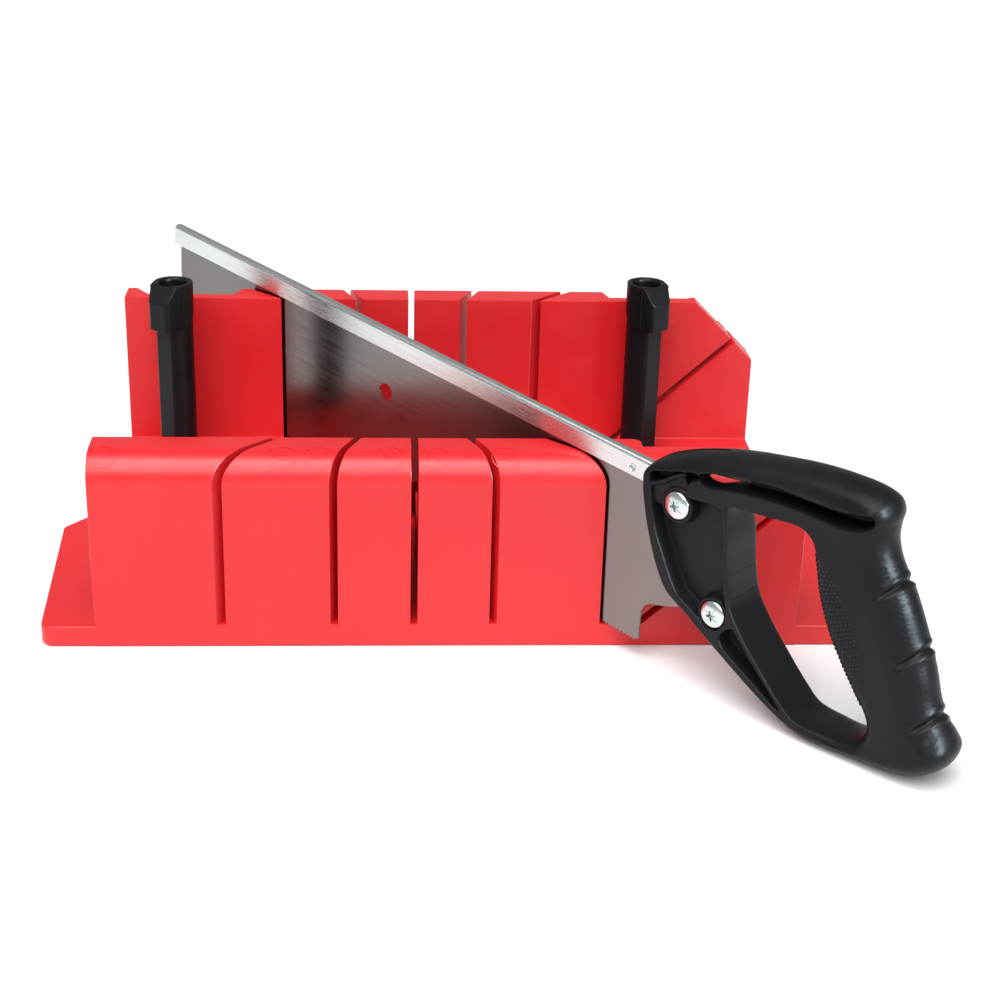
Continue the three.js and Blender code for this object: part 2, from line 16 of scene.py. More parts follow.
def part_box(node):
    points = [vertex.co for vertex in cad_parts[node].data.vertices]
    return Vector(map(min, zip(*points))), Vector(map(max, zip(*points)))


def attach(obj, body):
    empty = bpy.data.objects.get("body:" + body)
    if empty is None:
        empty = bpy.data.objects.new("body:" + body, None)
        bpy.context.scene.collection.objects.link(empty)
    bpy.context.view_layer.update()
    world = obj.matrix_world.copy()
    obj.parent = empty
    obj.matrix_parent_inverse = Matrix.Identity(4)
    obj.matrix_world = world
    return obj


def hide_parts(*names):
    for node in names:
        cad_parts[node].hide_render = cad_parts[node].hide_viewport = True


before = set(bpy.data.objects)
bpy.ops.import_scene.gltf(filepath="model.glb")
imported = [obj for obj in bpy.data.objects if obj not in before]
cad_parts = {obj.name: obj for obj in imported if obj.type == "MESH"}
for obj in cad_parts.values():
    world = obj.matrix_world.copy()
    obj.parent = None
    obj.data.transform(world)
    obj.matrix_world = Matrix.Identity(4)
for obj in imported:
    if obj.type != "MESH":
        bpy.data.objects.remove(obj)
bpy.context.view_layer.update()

MM = 0.001

# ---------- sizes, millimetres

# miter box
LEFT, RIGHT = -160.0, 196.0
WALL_TOP, WALL_DEPTH, THIN_WALL_DEPTH = 102.5, 28.5, 18.0
WALL_STEP, WALL_ROUND = 114.0, 15.0
FRONT_CHAMFER, FENCE_CHAMFER = 266.0, 293.4
BED_TOP = 48.5
FENCE, FENCE_TOP, FENCE_BACK, FENCE_THIN = 167.4, 131.8, 185.5, 174.5
FENCE_LEFT_HOLLOW = (-154.5, -147.5, -99.7, -95.7)  # X at its left end's back and front, then its right end's
FENCE_RIGHT_HOLLOW = (109.9, 112.8, 157, 160)
SKIN, PLATE = 3.5, 4.0
EDGE = 0.7  # how far every edge of the moulding is rounded

# base flange
FLANGE_TOP, FLANGE_CORNER, FLANGE_BEND = 11.0, 7.0, 5.0
FLANGE_FRONT, FLANGE_WIDE, FLANGE_WIDE_Y = -187.5, -194.0, 122.0

# saw slots
SLOT_WIDTH, SLOT_SKIN = 3.3, 3.0
SLOT_CROSSING = 97.1
SLOT_SLOPES = [math.tan(math.radians(angle)) for angle in (0, 22.5, -22.5, 45, -45)]
FLOOR_FRONT, FLOOR_BACK = 12.2, 44.0
BEVEL_WIDTH, BEVEL_X, BEVEL_PER_Z, BEVEL_PER_Y = 4.8, 100.2, 1.093, -0.209

# clamp post holes and posts
HOLE_RADIUS, SOCKET_RADIUS, SOCKET_BOTTOM, HOLE_PITCH = 5.3, 8.0, 24.5, 25.0
HOLE_COLUMNS = [(-130, 147, 0), (-102, 151.5, 0), (102, 149, 0), (130, 153.5, -BEVEL_PER_Y)]

# saw
SAW_YAW, SAW_TILT = math.radians(-45), math.radians(-7.7)

# how far a cutter runs past what it cuts
PAST = 60.0

# camera: its place on the box's own axes, its lens, and its angles in degrees
CAMERA_PLACE, CAMERA_LENS, SENSOR = (-15.3, -859.8, 448.0), 68.35, 36
CAMERA_ANGLES = {"pitch": 23.086, "yaw": 3.807, "roll": 1.626}

# studio, in metres: the room's own light in front and behind, and the floor
ROOM_FRONT, ROOM_BACK = 0.5, 0.35
FLOOR_SIZE, FLOOR_DROP = 12, 0.0003

box_low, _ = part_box("miter_box")
DRAWN_ORIGIN = Vector((box_low.x - FLANGE_WIDE * MM, box_low.y, box_low.z))
PLACE = Matrix.Translation(DRAWN_ORIGIN) @ Matrix.Scale(MM, 4)

# ---------- camera, light, floor


def add_camera():
    """A view from the front and above, turned a little and rolled a little."""
    pitch, yaw, roll = [math.radians(angle) for angle in CAMERA_ANGLES.values()]
    forward = Vector((math.sin(yaw) * math.cos(pitch), math.cos(yaw) * math.cos(pitch), -math.sin(pitch)))
    level = Vector((math.cos(yaw), -math.sin(yaw), 0))
    above = level.cross(forward)
    right = level * math.cos(roll) + above * math.sin(roll)
    up = above * math.cos(roll) - level * math.sin(roll)
    data = bpy.data.cameras.new("camera")
    data.sensor_width = SENSOR
    data.lens = CAMERA_LENS
    data.clip_start, data.clip_end = 0.05, 20
    camera = bpy.data.objects.new("camera", data)
    turn = Matrix((right, up, -forward)).transposed().to_4x4()
    camera.matrix_world = Matrix.Translation(PLACE @ Vector(CAMERA_PLACE)) @ turn
    bpy.context.scene.collection.objects.link(camera)
    bpy.context.scene.camera = camera


def add_light(data, direction, place=(0, 0, 0)):
    light = bpy.data.objects.new(data.name, data)
    light.location = place
    light.rotation_mode = "QUATERNION"
    light.rotation_quaternion = Vector(direction).to_track_quat("-Z", "Y")
    bpy.context.scene.collection.objects.link(light)
    return light


def add_area(name, place, aim, size, power, colour=(1, 1, 1)):
    data = bpy.data.lights.new(name, "AREA")
    data.shape = "RECTANGLE"
    data.size, data.size_y = size
    data.energy = power
    data.color = colour
    return add_light(data, Vector(aim) - Vector(place), place)


def add_sun(direction, strength, spread):
    data = bpy.data.lights.new("sun", "SUN")
    data.energy = strength
    data.angle = math.radians(spread)
    add_light(data, direction)


def new_node(nodes, kind, **values):
    """A new node with its inputs set."""
    node = nodes.new(kind)
    for name, value in values.items():
        node.inputs[name.replace("_", " ")].default_value = value
    return node


def add_sky():
    """Soft room light: brighter in front of the object than behind it."""
    world = bpy.data.worlds.new("studio")
    bpy.context.scene.world = world
    world.use_nodes = True
    nodes, links = world.node_tree.nodes, world.node_tree.links
    coords = nodes.new("ShaderNodeTexCoord")
    parts = nodes.new("ShaderNodeSeparateXYZ")
    values = {"From_Min": -1, "From_Max": 0.6, "To_Min": ROOM_FRONT, "To_Max": ROOM_BACK}
    spread = new_node(nodes, "ShaderNodeMapRange", **values)
    links.new(coords.outputs["Generated"], parts.inputs["Vector"])
    links.new(parts.outputs["Y"], spread.inputs["Value"])
    links.new(spread.outputs["Result"], nodes["Background"].inputs["Strength"])
    nodes["Background"].inputs["Color"].default_value = (1, 1, 1, 1)


def add_studio():
    """Room light, a soft sun, a lamp overhead, and a cool one that only shows as gloss on the grip."""
    add_sky()
    middle = (0, 0, 0.06)
    add_sun(direction=(0.25, 0.7, -1), strength=2.75, spread=50)
    add_area("overhead", place=(-0.1, -0.35, 1.3), aim=middle, size=(1.5, 0.5), power=8)
    cool = (0.76, 0.9, 1)
    gloss = add_area("side", place=(1.05, -1.15, 0.7), aim=middle, size=(0.25, 0.8), power=60, colour=cool)
    gloss.visible_diffuse = False
    bpy.ops.mesh.primitive_plane_add(size=FLOOR_SIZE, location=(0, 0, box_low.z - FLOOR_DROP))
    floor = bpy.context.object
    floor.name = "floor"
    floor.data.materials.append(floor_material())
    bpy.context.scene.view_settings.view_transform = "Standard"


# ---------- materials


class Surface:
    """A new material with its nodes, so that a recipe reads as a short list of steps."""

    NOISE_RANGE = (0.3, 0.7)  # the part of 0..1 that a noise mostly uses

    def __init__(self, name):
        self.material = bpy.data.materials.new(name)
        self.material.use_nodes = True
        self.nodes = self.material.node_tree.nodes
        self.shader = self.nodes["Principled BSDF"]
        self.coords = self.nodes.new("ShaderNodeTexCoord")

    def link(self, source, target):
        self.material.node_tree.links.new(source, target)

    def set(self, **values):
        for name, value in values.items():
            self.shader.inputs[name.replace("_", " ")].default_value = value

    def noise(self, scale, detail=3.0, stretch=(1, 1, 1), turn=(0, 0, 0)):
        mapping = new_node(self.nodes, "ShaderNodeMapping", Rotation=turn, Scale=stretch)
        mapping.vector_type = "TEXTURE"
        self.link(self.coords.outputs["Object"], mapping.inputs["Vector"])
        noise = new_node(self.nodes, "ShaderNodeTexNoise", Scale=scale, Detail=detail)
        self.link(mapping.outputs["Vector"], noise.inputs["Vector"])
        return noise.outputs["Fac"]

    def between(self, factor, low, high):
        """Maps a noise onto the range low..high."""
        start, end = self.NOISE_RANGE
        values = {"From_Min": start, "From_Max": end, "To_Min": low, "To_Max": high}
        node = new_node(self.nodes, "ShaderNodeMapRange", **values)
        self.link(factor, node.inputs["Value"])
        return node.outputs["Result"]

    def paint(self, factor, first, second):
        """Colours the surface with a noise's blend of two colours."""
        node = self.nodes.new("ShaderNodeValToRGB")
        for element, position, colour in zip(node.color_ramp.elements, self.NOISE_RANGE, (first, second)):
            element.position = position
            element.color = (*colour, 1)
        self.link(factor, node.inputs["Fac"])
        self.link(node.outputs["Color"], self.shader.inputs["Base Color"])

    def roughen(self, roughness):
        self.link(roughness, self.shader.inputs["Roughness"])

    def bump(self, height, strength, distance):
        node = new_node(self.nodes, "ShaderNodeBump", Strength=strength, Distance=distance)
        self.link(height, node.inputs["Height"])
        self.link(node.outputs["Normal"], self.shader.inputs["Normal"])


def floor_material():
    surface = Surface("pale_floor")
    surface.set(Roughness=0.9)
    surface.paint(surface.noise(3), (0.93, 0.93, 0.93), (0.95, 0.95, 0.95))
    return surface.material


def red_plastic():
    surface = Surface("red_plastic")
    surface.paint(surface.noise(9), (0.61, 0.011, 0.014), (0.66, 0.014, 0.018))
    surface.roughen(surface.between(surface.noise(60, 4), 0.3, 0.4))
    surface.bump(surface.noise(900, 2), 0.12, 0.0002)
    surface.set(IOR=1.5, Specular_IOR_Level=0.42, Coat_Weight=0.1, Coat_Roughness=0.25)
    return surface.material


def black_plastic():
    surface = Surface("black_plastic")
    surface.paint(surface.noise(14), (0.005, 0.005, 0.0065), (0.009, 0.009, 0.0115))
    surface.roughen(surface.between(surface.noise(70, 4), 0.33, 0.43))
    surface.bump(surface.noise(1500, 2), 0.16, 0.0001)
    surface.set(IOR=1.45, Specular_IOR_Level=0.19)
    return surface.material


def steel(name, tones, length, rough):
    """Bare metal whose grain is `length` times longer along the saw than across it."""
    surface = Surface(name)
    grain = surface.noise(900, 3, (length, 1, 1), (0, -SAW_TILT, SAW_YAW))
    surface.paint(surface.noise(8), *tones)
    surface.roughen(surface.between(grain, *rough))
    surface.bump(grain, 0.03, 0.00005)
    surface.set(Metallic=1.0)
    return surface.material


# ---------- mesh helpers


def link_mesh(name, data):
    piece = bpy.data.objects.new(name, data)
    bpy.context.scene.collection.objects.link(piece)
    return piece


def solid_from(vertices, faces, name="solid"):
    data = bpy.data.meshes.new(name)
    data.from_pydata([tuple(v) for v in vertices], [], faces)
    shape = bmesh.new()
    shape.from_mesh(data)
    bmesh.ops.recalc_face_normals(shape, faces=shape.faces)
    shape.to_mesh(data)
    shape.free()
    return link_mesh(name, data)


def ring_sides(count, first=0):
    """Faces between a ring of vertices and the next ring."""
    steps = [(i, (i + 1) % count) for i in range(count)]
    return [(first + i, first + j, first + count + j, first + count + i) for i, j in steps]


def prism(outline, low, high, place=lambda x, y, z: (x, y, z)):
    """A closed outline of [x, y] pushed from low to high; `place` says which way the axes lie."""
    count = len(outline)
    vertices = [place(x, y, low) for x, y in outline] + [place(x, y, high) for x, y in outline]
    ends = [tuple(reversed(range(count))), tuple(range(count, 2 * count))]
    return solid_from(vertices, ring_sides(count) + ends)


def along_x(y, z, x):
    return (x, y, z)


def along_y(x, z, y):
    return (x, y, z)


def box_between(x, y, z):
    return prism([(x[0], y[0]), (x[1], y[0]), (x[1], y[1]), (x[0], y[1])], z[0], z[1])


def turned(profile, segments=48):
    """A profile of (radius, height) from axis to axis, spun about Z."""
    vertices, rings, faces = [], [], []
    for radius, height in profile:
        count = segments if radius > 1e-6 else 1
        rings.append([len(vertices) + i for i in range(count)])
        angles = [2 * math.pi * i / segments for i in range(count)]
        vertices += [(radius * math.cos(a), radius * math.sin(a), height) for a in angles]
    for low, high in zip(rings, rings[1:]):
        for i in range(segments):
            j = (i + 1) % segments
            corners = [low[i % len(low)], low[j % len(low)], high[j % len(high)], high[i % len(high)]]
            faces.append(tuple(dict.fromkeys(corners)))
    return solid_from(vertices, faces, "turned")


def round_bar(x, y, radius, low, high, segments):
    bar = turned([(0, low), (radius, low), (radius, high), (0, high)], segments)
    bar.data.transform(Matrix.Translation((x, y, 0)))
    return bar


def arc(centre, radius, start, end, steps):
    """Points on an arc, angles in degrees."""
    points = []
    for i in range(steps + 1):
        angle = math.radians(start + (end - start) * i / steps)
        points.append((centre[0] + radius * math.cos(angle), centre[1] + radius * math.sin(angle)))
    return points


def freeze(piece):
    """Applies every modifier."""
    bpy.context.view_layer.update()
    graph = bpy.context.evaluated_depsgraph_get()
    data = bpy.data.meshes.new_from_object(piece.evaluated_get(graph))
    piece.modifiers.clear()
    old, piece.data = piece.data, data
    bpy.data.meshes.remove(old)
    return piece


def combine(piece, others, operation):
    for other in others:
        step = piece.modifiers.new(operation.lower(), "BOOLEAN")
        step.operation = operation
        step.solver = "EXACT"
        step.object = other
        freeze(piece)
        bpy.data.objects.remove(other)
    return piece


def cut(piece, *cutters):
    return combine(piece, cutters, "DIFFERENCE")


def join(piece, *others):
    return combine(piece, others, "UNION")


def round_edges(piece, width, segments=2, angle=30):
    step = piece.modifiers.new("edges", "BEVEL")
    step.width = width
    step.segments = segments
    step.limit_method = "ANGLE"
    step.angle_limit = math.radians(angle)
    step.use_clamp_overlap = False
    return freeze(piece)


def tidy(piece, distance=0.0005):
    """Merges stray points and drops faces with no area."""
    shape = bmesh.new()
    shape.from_mesh(piece.data)
    bmesh.ops.remove_doubles(shape, verts=shape.verts, dist=distance)
    bmesh.ops.dissolve_degenerate(shape, edges=shape.edges, dist=distance)
    shape.to_mesh(piece.data)
    shape.free()
    return piece


def smooth(piece, angle=30):
    piece.data.shade_smooth()
    piece.data.set_sharp_from_angle(angle=math.radians(angle))
    step = piece.modifiers.new("normals", "WEIGHTED_NORMAL")
    step.keep_sharp = True
    step.weight = 100
    return piece


def finish_piece(piece, name, body, material, place=PLACE, replaced=()):
    """Names a drawn piece, moves it into the frame and says what it belongs to."""
    piece.name = name
    piece.data.name = name
    piece.data.transform(place)
    piece.data.materials.clear()
    piece.data.materials.append(material)
    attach(piece, body)
    if replaced:
        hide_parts(*replaced)


# ---------- miter box


def wall_profile(inset, back, top):
    """Front wall section in Y and Z, its front top edge round."""
    crest = (WALL_ROUND, WALL_TOP - WALL_ROUND)
    return [(inset, -inset), (back, -inset), (back, top)] + arc(crest, WALL_ROUND - inset, 90, 180, 14)


def beyond_slope(total, y):
    """What lies where X + Z is more than `total`."""
    high = 200.0
    corners = [(total, 0), (total + PAST, 0), (total + PAST, high), (total - high, high)]
    return prism(corners, y[0], y[1], along_y)


def fence_recesses(grow):
    """Hollows in the back of the fence; the right-hand one stays above the leaning slot."""
    back, front, far = FENCE_BACK + grow, FENCE_THIN - grow, FENCE_BACK + PAST
    a, b, c, d = FENCE_LEFT_HOLLOW
    left = [(a - grow, far), (a - grow, back), (b - grow, front)]
    left += [(c + grow, front), (d + grow, back), (d + grow, far)]
    a, b, c, d = FENCE_RIGHT_HOLLOW
    right = [(a - grow, far), (a - grow, back), (b - grow, front), (c + grow, front)]
    right += [(d + grow, front + 2), (RIGHT + PAST, front + 2), (RIGHT + PAST, far)]
    lift = SLOT_SKIN + 6 - grow

    def slot_top(x):
        return (x - BEVEL_X - BEVEL_PER_Y * FENCE_BACK) / BEVEL_PER_Z + lift

    below = [(0, -3 * PAST), (4 * PAST, -3 * PAST), (4 * PAST, slot_top(4 * PAST)), (0, slot_top(0))]
    upper = cut(prism(right, -PAST, FENCE_TOP + PAST), prism(below, 0, FENCE_BACK + 2 * PAST, along_y))
    return [prism(left, -PAST, FENCE_TOP + PAST), upper]


def outer_shape():
    """Walls, bed and fence as one bar, before its slots."""
    section = [(0, 0), (FENCE_BACK, 0), (FENCE_BACK, FENCE_TOP), (FENCE, FENCE_TOP), (FENCE, BED_TOP)]
    section += [(WALL_DEPTH, BED_TOP), (WALL_DEPTH, WALL_TOP)]
    section += arc((WALL_ROUND, WALL_TOP - WALL_ROUND), WALL_ROUND, 90, 180, 14)
    bar = prism(section, LEFT, RIGHT, along_x)
    beyond = RIGHT + PAST
    step = [(WALL_STEP, THIN_WALL_DEPTH), (beyond, THIN_WALL_DEPTH), (beyond, WALL_DEPTH + 2)]
    step += [(WALL_STEP - 5, WALL_DEPTH + 2)] + arc((WALL_STEP - 5, WALL_DEPTH - 5), 5, 90, 0, 6)
    return cut(
        bar,
        prism(step, BED_TOP, WALL_TOP + PAST),
        beyond_slope(FRONT_CHAMFER, (-PAST, FENCE / 2)),
        beyond_slope(FENCE_CHAMFER, (FENCE / 2, FENCE_BACK + PAST)),
        *fence_recesses(0),
    )


def slot_section(drop, bottom=None):
    """A slot from the side, in Y and Z; its floor climbs from the front wall to the fence."""
    front, back, top = -PAST, FENCE_BACK + PAST, 250.0
    floor = [(front, FLOOR_FRONT - drop), (WALL_DEPTH, FLOOR_FRONT - drop)]
    floor += [(FENCE, FLOOR_BACK - drop), (back, FLOOR_BACK - drop)]
    if bottom is not None:
        floor = [(front, bottom), (back, bottom)]
    return floor + [(back, top), (front, top)]


def slot_cutters(skin=0.0, bottom=None):
    """One slab for each saw slot; `skin` adds its moulded walls, `bottom` cuts it right through."""
    section = slot_section(skin, bottom)
    slabs = []
    for slope in SLOT_SLOPES:
        half = (SLOT_WIDTH / 2 + skin) * math.hypot(1, slope)

        def lean(y, z, x, slope=slope):
            return (x + slope * (SLOT_CROSSING - y), y, z)

        slabs.append(prism(section, -half, half, lean))

    def tilt(y, z, x):
        return (x + BEVEL_X + BEVEL_PER_Z * z + BEVEL_PER_Y * y, y, z)

    half = BEVEL_WIDTH / 2 + skin * math.hypot(1, BEVEL_PER_Z)
    slabs.append(prism(section, -half, half, tilt))
    return slabs


def above_floor():
    """Everything above the level that the slots reach down to."""
    return prism(slot_section(0), LEFT - PAST, RIGHT + PAST, along_x)


def flange():
    """Base flange: round at the front corners, cut off at the back ones, its top edge softened."""
    left = arc((FLANGE_FRONT + FLANGE_CORNER, FLANGE_CORNER), FLANGE_CORNER, 270, 180, 8)
    left += arc((FLANGE_WIDE + FLANGE_BEND, FLANGE_WIDE_Y), FLANGE_BEND, 178, 145, 3)
    left += [(LEFT, FENCE), (LEFT + 1, FENCE_BACK - 1)]
    right = [(LEFT + RIGHT - x, y) for x, y in reversed(left)]
    tucked = 0.05  # keeps its front and underside off the box's own planes
    plate = prism([(x, max(y, tucked)) for x, y in left + right], tucked, FLANGE_TOP)
    return round_edges(plate, 1.0, 3, 50)


def hole_places():
    return [(x + lean * HOLE_PITCH * i, y - HOLE_PITCH * i) for x, y, lean in HOLE_COLUMNS for i in range(4)]


def post_hole(x, y):
    """A hole through the bed with a small lead-in at its mouth."""
    lead, under = 0.6, SOCKET_BOTTOM - 12
    profile = [(0, under), (HOLE_RADIUS, under), (HOLE_RADIUS, BED_TOP - lead)]
    profile += [(HOLE_RADIUS + lead * 1.6, BED_TOP + lead * 0.6), (0, BED_TOP + lead * 0.6)]
    cutter = turned(profile, 40)
    cutter.data.transform(Matrix.Translation((x, y, 0)))
    return cutter


def underside_cores():
    """What the mould leaves hollow under the bed and inside the walls."""
    under_plate = BED_TOP - PLATE
    bed = join(
        box_between((LEFT + SKIN, RIGHT - SKIN), (WALL_DEPTH, FENCE - SKIN), (-5, under_plate)),
        box_between((WALL_STEP + SKIN, RIGHT - SKIN), (THIN_WALL_DEPTH, WALL_DEPTH + 1), (-5, under_plate)),
    )
    hollow = wall_profile(SKIN, WALL_DEPTH - SKIN, WALL_TOP - SKIN)
    thick = prism(hollow, LEFT + SKIN, WALL_STEP - SKIN, along_x)
    thin = cut(
        prism(hollow, WALL_STEP - SKIN - 0.01, RIGHT - SKIN, along_x),
        box_between((0, RIGHT + PAST), (THIN_WALL_DEPTH - SKIN, WALL_DEPTH + 9), (-PAST, WALL_TOP + PAST)),
        beyond_slope(FRONT_CHAMFER - SKIN * math.sqrt(2), (-PAST, FENCE / 2)),
    )
    guide = cut(
        box_between((LEFT + SKIN, RIGHT - SKIN), (FENCE + SKIN, FENCE_BACK - SKIN), (-5, FENCE_TOP - SKIN)),
        beyond_slope(FENCE_CHAMFER - SKIN * math.sqrt(2), (FENCE / 2, FENCE_BACK + PAST)),
        *fence_recesses(SKIN),
    )
    cores = [bed, join(thick, thin), guide]
    for core in cores:
        cut(core, *slot_cutters(SLOT_SKIN))
    cut(bed, *[round_bar(x, y, SOCKET_RADIUS, SOCKET_BOTTOM, BED_TOP, 32) for x, y in hole_places()])
    return cores


def flange_pockets():
    left = [(FLANGE_FRONT + SKIN, FLANGE_CORNER), (LEFT - SKIN, SKIN)]
    left += [(LEFT - SKIN, FENCE - 3 * SKIN), (FLANGE_WIDE + SKIN, FLANGE_WIDE_Y)]
    right = [(LEFT + RIGHT - x, y) for x, y in left]
    return [prism(outline, -5, FLANGE_TOP - SKIN) for outline in (left, right)]


def build_miter_box(red):
    outer = outer_shape()
    core = cut(link_mesh("core", outer.data.copy()), above_floor())
    cells = cut(outer, *slot_cutters(bottom=-10))
    round_edges(cells, EDGE, 2)
    round_edges(core, EDGE, 2)
    body = join(core, cells, flange())
    cut(body, *underside_cores(), *flange_pockets())
    cut(body, *[post_hole(x, y) for x, y in hole_places()])
    tidy(body)
    smooth(body)
    finish_piece(body, "box_moulding", "box", red, replaced=["miter_box"])


# ---------- saw handle

# `HANDLE_RIM` and `FINGER_RIM` run round the handle at the blade's plane, and from there each side
# swells to a half thickness. Each row is x, y, how far in the swelling reaches, the half thickness,
# and how square the edge is (2 is an ellipse).
HANDLE_RIM = [
    (25.6, 11, 2.5, 12.5, 3.0), (26.6, 3.5, 2.5, 12.5, 3.5), (29, -3, 2.2, 12.8, 4),
    (34.6, -16.8, 2, 13, 4), (43.4, -33.4, 2, 13, 4), (51.5, -43.2, 2, 13, 4), (64.5, -49.4, 2, 13, 4),
    (77, -55.7, 2, 13, 4), (96.6, -64.8, 2, 13, 4), (112.4, -71.7, 2, 13, 4), (127, -77.2, 2.5, 13, 3.5),
    (138, -80, 3.5, 13, 2.8), (150, -79.8, 5, 13.5, 2.4), (167, -77.6, 6.5, 14, 2.2),
    (180, -75.6, 7.5, 14.5, 2.1), (192, -72.6, 8, 14.8, 2.1), (201, -68, 8.5, 15, 2.1),
    (207.4, -60.8, 9, 14.8, 2), (209, -52.6, 9.5, 14.6, 2), (204.9, -46.2, 12, 14.2, 2),
    (200, -41.5, 15, 14, 2), (194.9, -33.5, 18, 14, 2), (189.9, -22.3, 19, 14.3, 2),
    (182.4, -8.6, 19, 14.4, 2), (170.6, 9.6, 18, 14.2, 2), (160.5, 21.5, 16, 13.8, 2),
    (156, 29.8, 14, 13.8, 2), (155, 37, 12, 14, 2), (154.8, 43, 10, 14.2, 2), (150.8, 48.6, 10, 14.2, 2),
    (143.9, 51, 11, 14.2, 2), (132.7, 51.2, 12, 14.2, 2), (112.4, 48.7, 12, 14.2, 2),
    (89.9, 43.3, 10.5, 14, 2), (68.1, 36.9, 9, 13.8, 2), (47.6, 28.4, 7.5, 13.4, 2.1),
    (35, 21.6, 6.5, 13, 2.2), (28.5, 16.6, 4, 12.6, 2.5),
]
FINGER_RIM = [
    (75.8, 12.6, 1.6, 12, 3), (79.3, -4, 1.1, 13, 4), (82.6, -18, 1.1, 13, 4), (88.2, -33.5, 1.1, 13, 4),
    (97.5, -44.6, 1.1, 13, 4), (110, -55.7, 1.1, 13, 4), (124.5, -67.3, 1.3, 13, 4),
    (133.5, -72.2, 2, 13, 3.5), (147, -71.2, 4, 13.3, 2.6), (159, -69, 6, 13.5, 2.3),
    (166.3, -64.5, 8, 13.6, 2.1), (166, -56, 10, 13.8, 2.2), (157.4, -44.5, 11.5, 14, 2.8),
    (148.4, -33, 13, 14, 4), (139.4, -20.5, 13, 14, 5), (130.4, -4.5, 12, 13.8, 5),
    (124.8, 9.5, 8, 13.4, 4), (120.6, 17.2, 4, 12.5, 3), (114, 20.4, 2.2, 12, 3), (98, 18, 1.8, 12, 3),
    (84, 15.4, 1.6, 12, 3),
]

# outlines of the hollows in each side; WEB and BAR are the half thicknesses that they leave
CHEEK = [
    (30.4, 12.4), (31.4, 5.8), (35.4, -4.9), (40, -15.8), (46.2, -25.5), (53, -35.5), (58.6, -41.4),
    (68, -45.6), (76, -49), (84, -45), (87.4, -39.5), (84.5, -32), (80, -18.5), (76.6, -4), (73.6, 8),
    (71.6, 11.6), (62.4, 10.8), (54.6, 9.6), (52.4, 13), (53.6, 18), (57.5, 20.6), (56, 23), (50, 21.2),
    (41.9, 18), (35, 15),
]
UNDER_WING = [
    (57.2, 21.6), (60, 19.4), (66, 19.8), (70.6, 21.4), (82, 24.4), (93.9, 26.8), (104, 28.4),
    (114.6, 29.6), (124, 30.4), (133.5, 31.4), (141, 33), (147, 35.8), (149.4, 38.6), (148.4, 42.2),
    (143, 41.2), (132.5, 38.6), (116.8, 36.6), (99.2, 35.4), (82.5, 32), (72, 29), (65.3, 27), (59, 24.2),
]
LOWER_STRUT = [
    (91.6, -44.4), (97, -48.2), (108.4, -58), (113.2, -61.8), (122.4, -69), (125.6, -72), (121, -71.2),
    (112, -67), (101.6, -62.4), (95.2, -59.4), (88.5, -56), (86, -51),
]
WEB, BAR = 5.2, 2.6

# the gap between wing and bar: a hole square to the blade, and a leaning one that shifts as it goes through
GAP_UNDER_WING = [
    (59.6, 21.6), (62.5, 20.6), (67, 21.2), (73, 23.2), (79, 25.6), (77, 27.2), (71, 26.6), (65, 25),
    (61, 23.4),
]
LEANING_GAP = [(53.4, 17.2), (57.5, 20), (73.9, 23.2), (63.8, 17.8), (56.8, 15.9)]
GAP_LEAN, GAP_BETWEEN = (0.667, 0.59), (-18, 4.6)

# a pad above the upper screw, with a curved rib along its top
RIB = [(27, 5.4), (31, 6.6), (35, 8.6), (39.3, 11.7), (44, 16), (49, 19.4)]
RIB_TOP, RIB_HALF = 11.8, 1.1
PAD = [
    (28, 6.4), (31, 6.8), (35, 8.8), (39.3, 11.9), (43, 15.5), (46.5, 18), (50, 16), (52, 10), (50, 4),
    (44, -1.9), (36, -1.9), (28.6, -1.9),
]
PAD_TOP, PAD_EDGE = 10.2, (-0.3, 0, 0.3)

# a slit in the crest at the front, beside the blade's plane
CREST_SLIT = [(29, 14), (38.6, 19.6), (50.8, 25), (64, 30), (64, 44), (50, 44), (38, 40), (29, 36)]
SLIT_BETWEEN = (-1.5, 0.4)

SCREWS = {"upper": (48, 2.2), "lower": (79.4, -42.8)}
SCREW_HEAD, BOSS, BOSS_TOP, SEAT = 7.1, 9.0, 11.6, 10.5
BOSS_EDGE = (BOSS - 0.6, BOSS - 0.1, BOSS + 0.3, BOSS + 1.2)

# finger grooves on the back of the grip, from the side to the edge, each with a lip along both sides
GROOVES = [((157.5, 4.5), (173, 23)), ((174.5, -23), (190.5, -3)), ((188.5, -50), (205, -30.5))]
GROOVE_DEPTH, GROOVE_HALF, LIP_RISE, LIP_AT, LIP_HALF = 1.35, 1.15, 0.35, 2.7, 1.0

# studs on the front of the grip: row and column spacing, half width, height above the skin and root
# below it, share of the width left at the top; how far in they go, from the grip's bottom to its top
STUD_ROW, STUD_STEP, STUD_HALF, STUD_RISE, STUD_ROOT, STUD_TOP = 2.15, 2.1, 1.15, 0.42, 0.3, 0.45
STUDS_FROM, STUDS_TO = (161, -49), (124, 11)
STUDS_ALONG = (0, 0.12, 0.25, 0.4, 0.55, 0.72, 0.84, 0.95, 1)
STUDS_REACH = (3, 8, 12.7, 15.5, 15, 12.7, 10, 6, 2.5)

BATCH = 1500  # points measured at a time


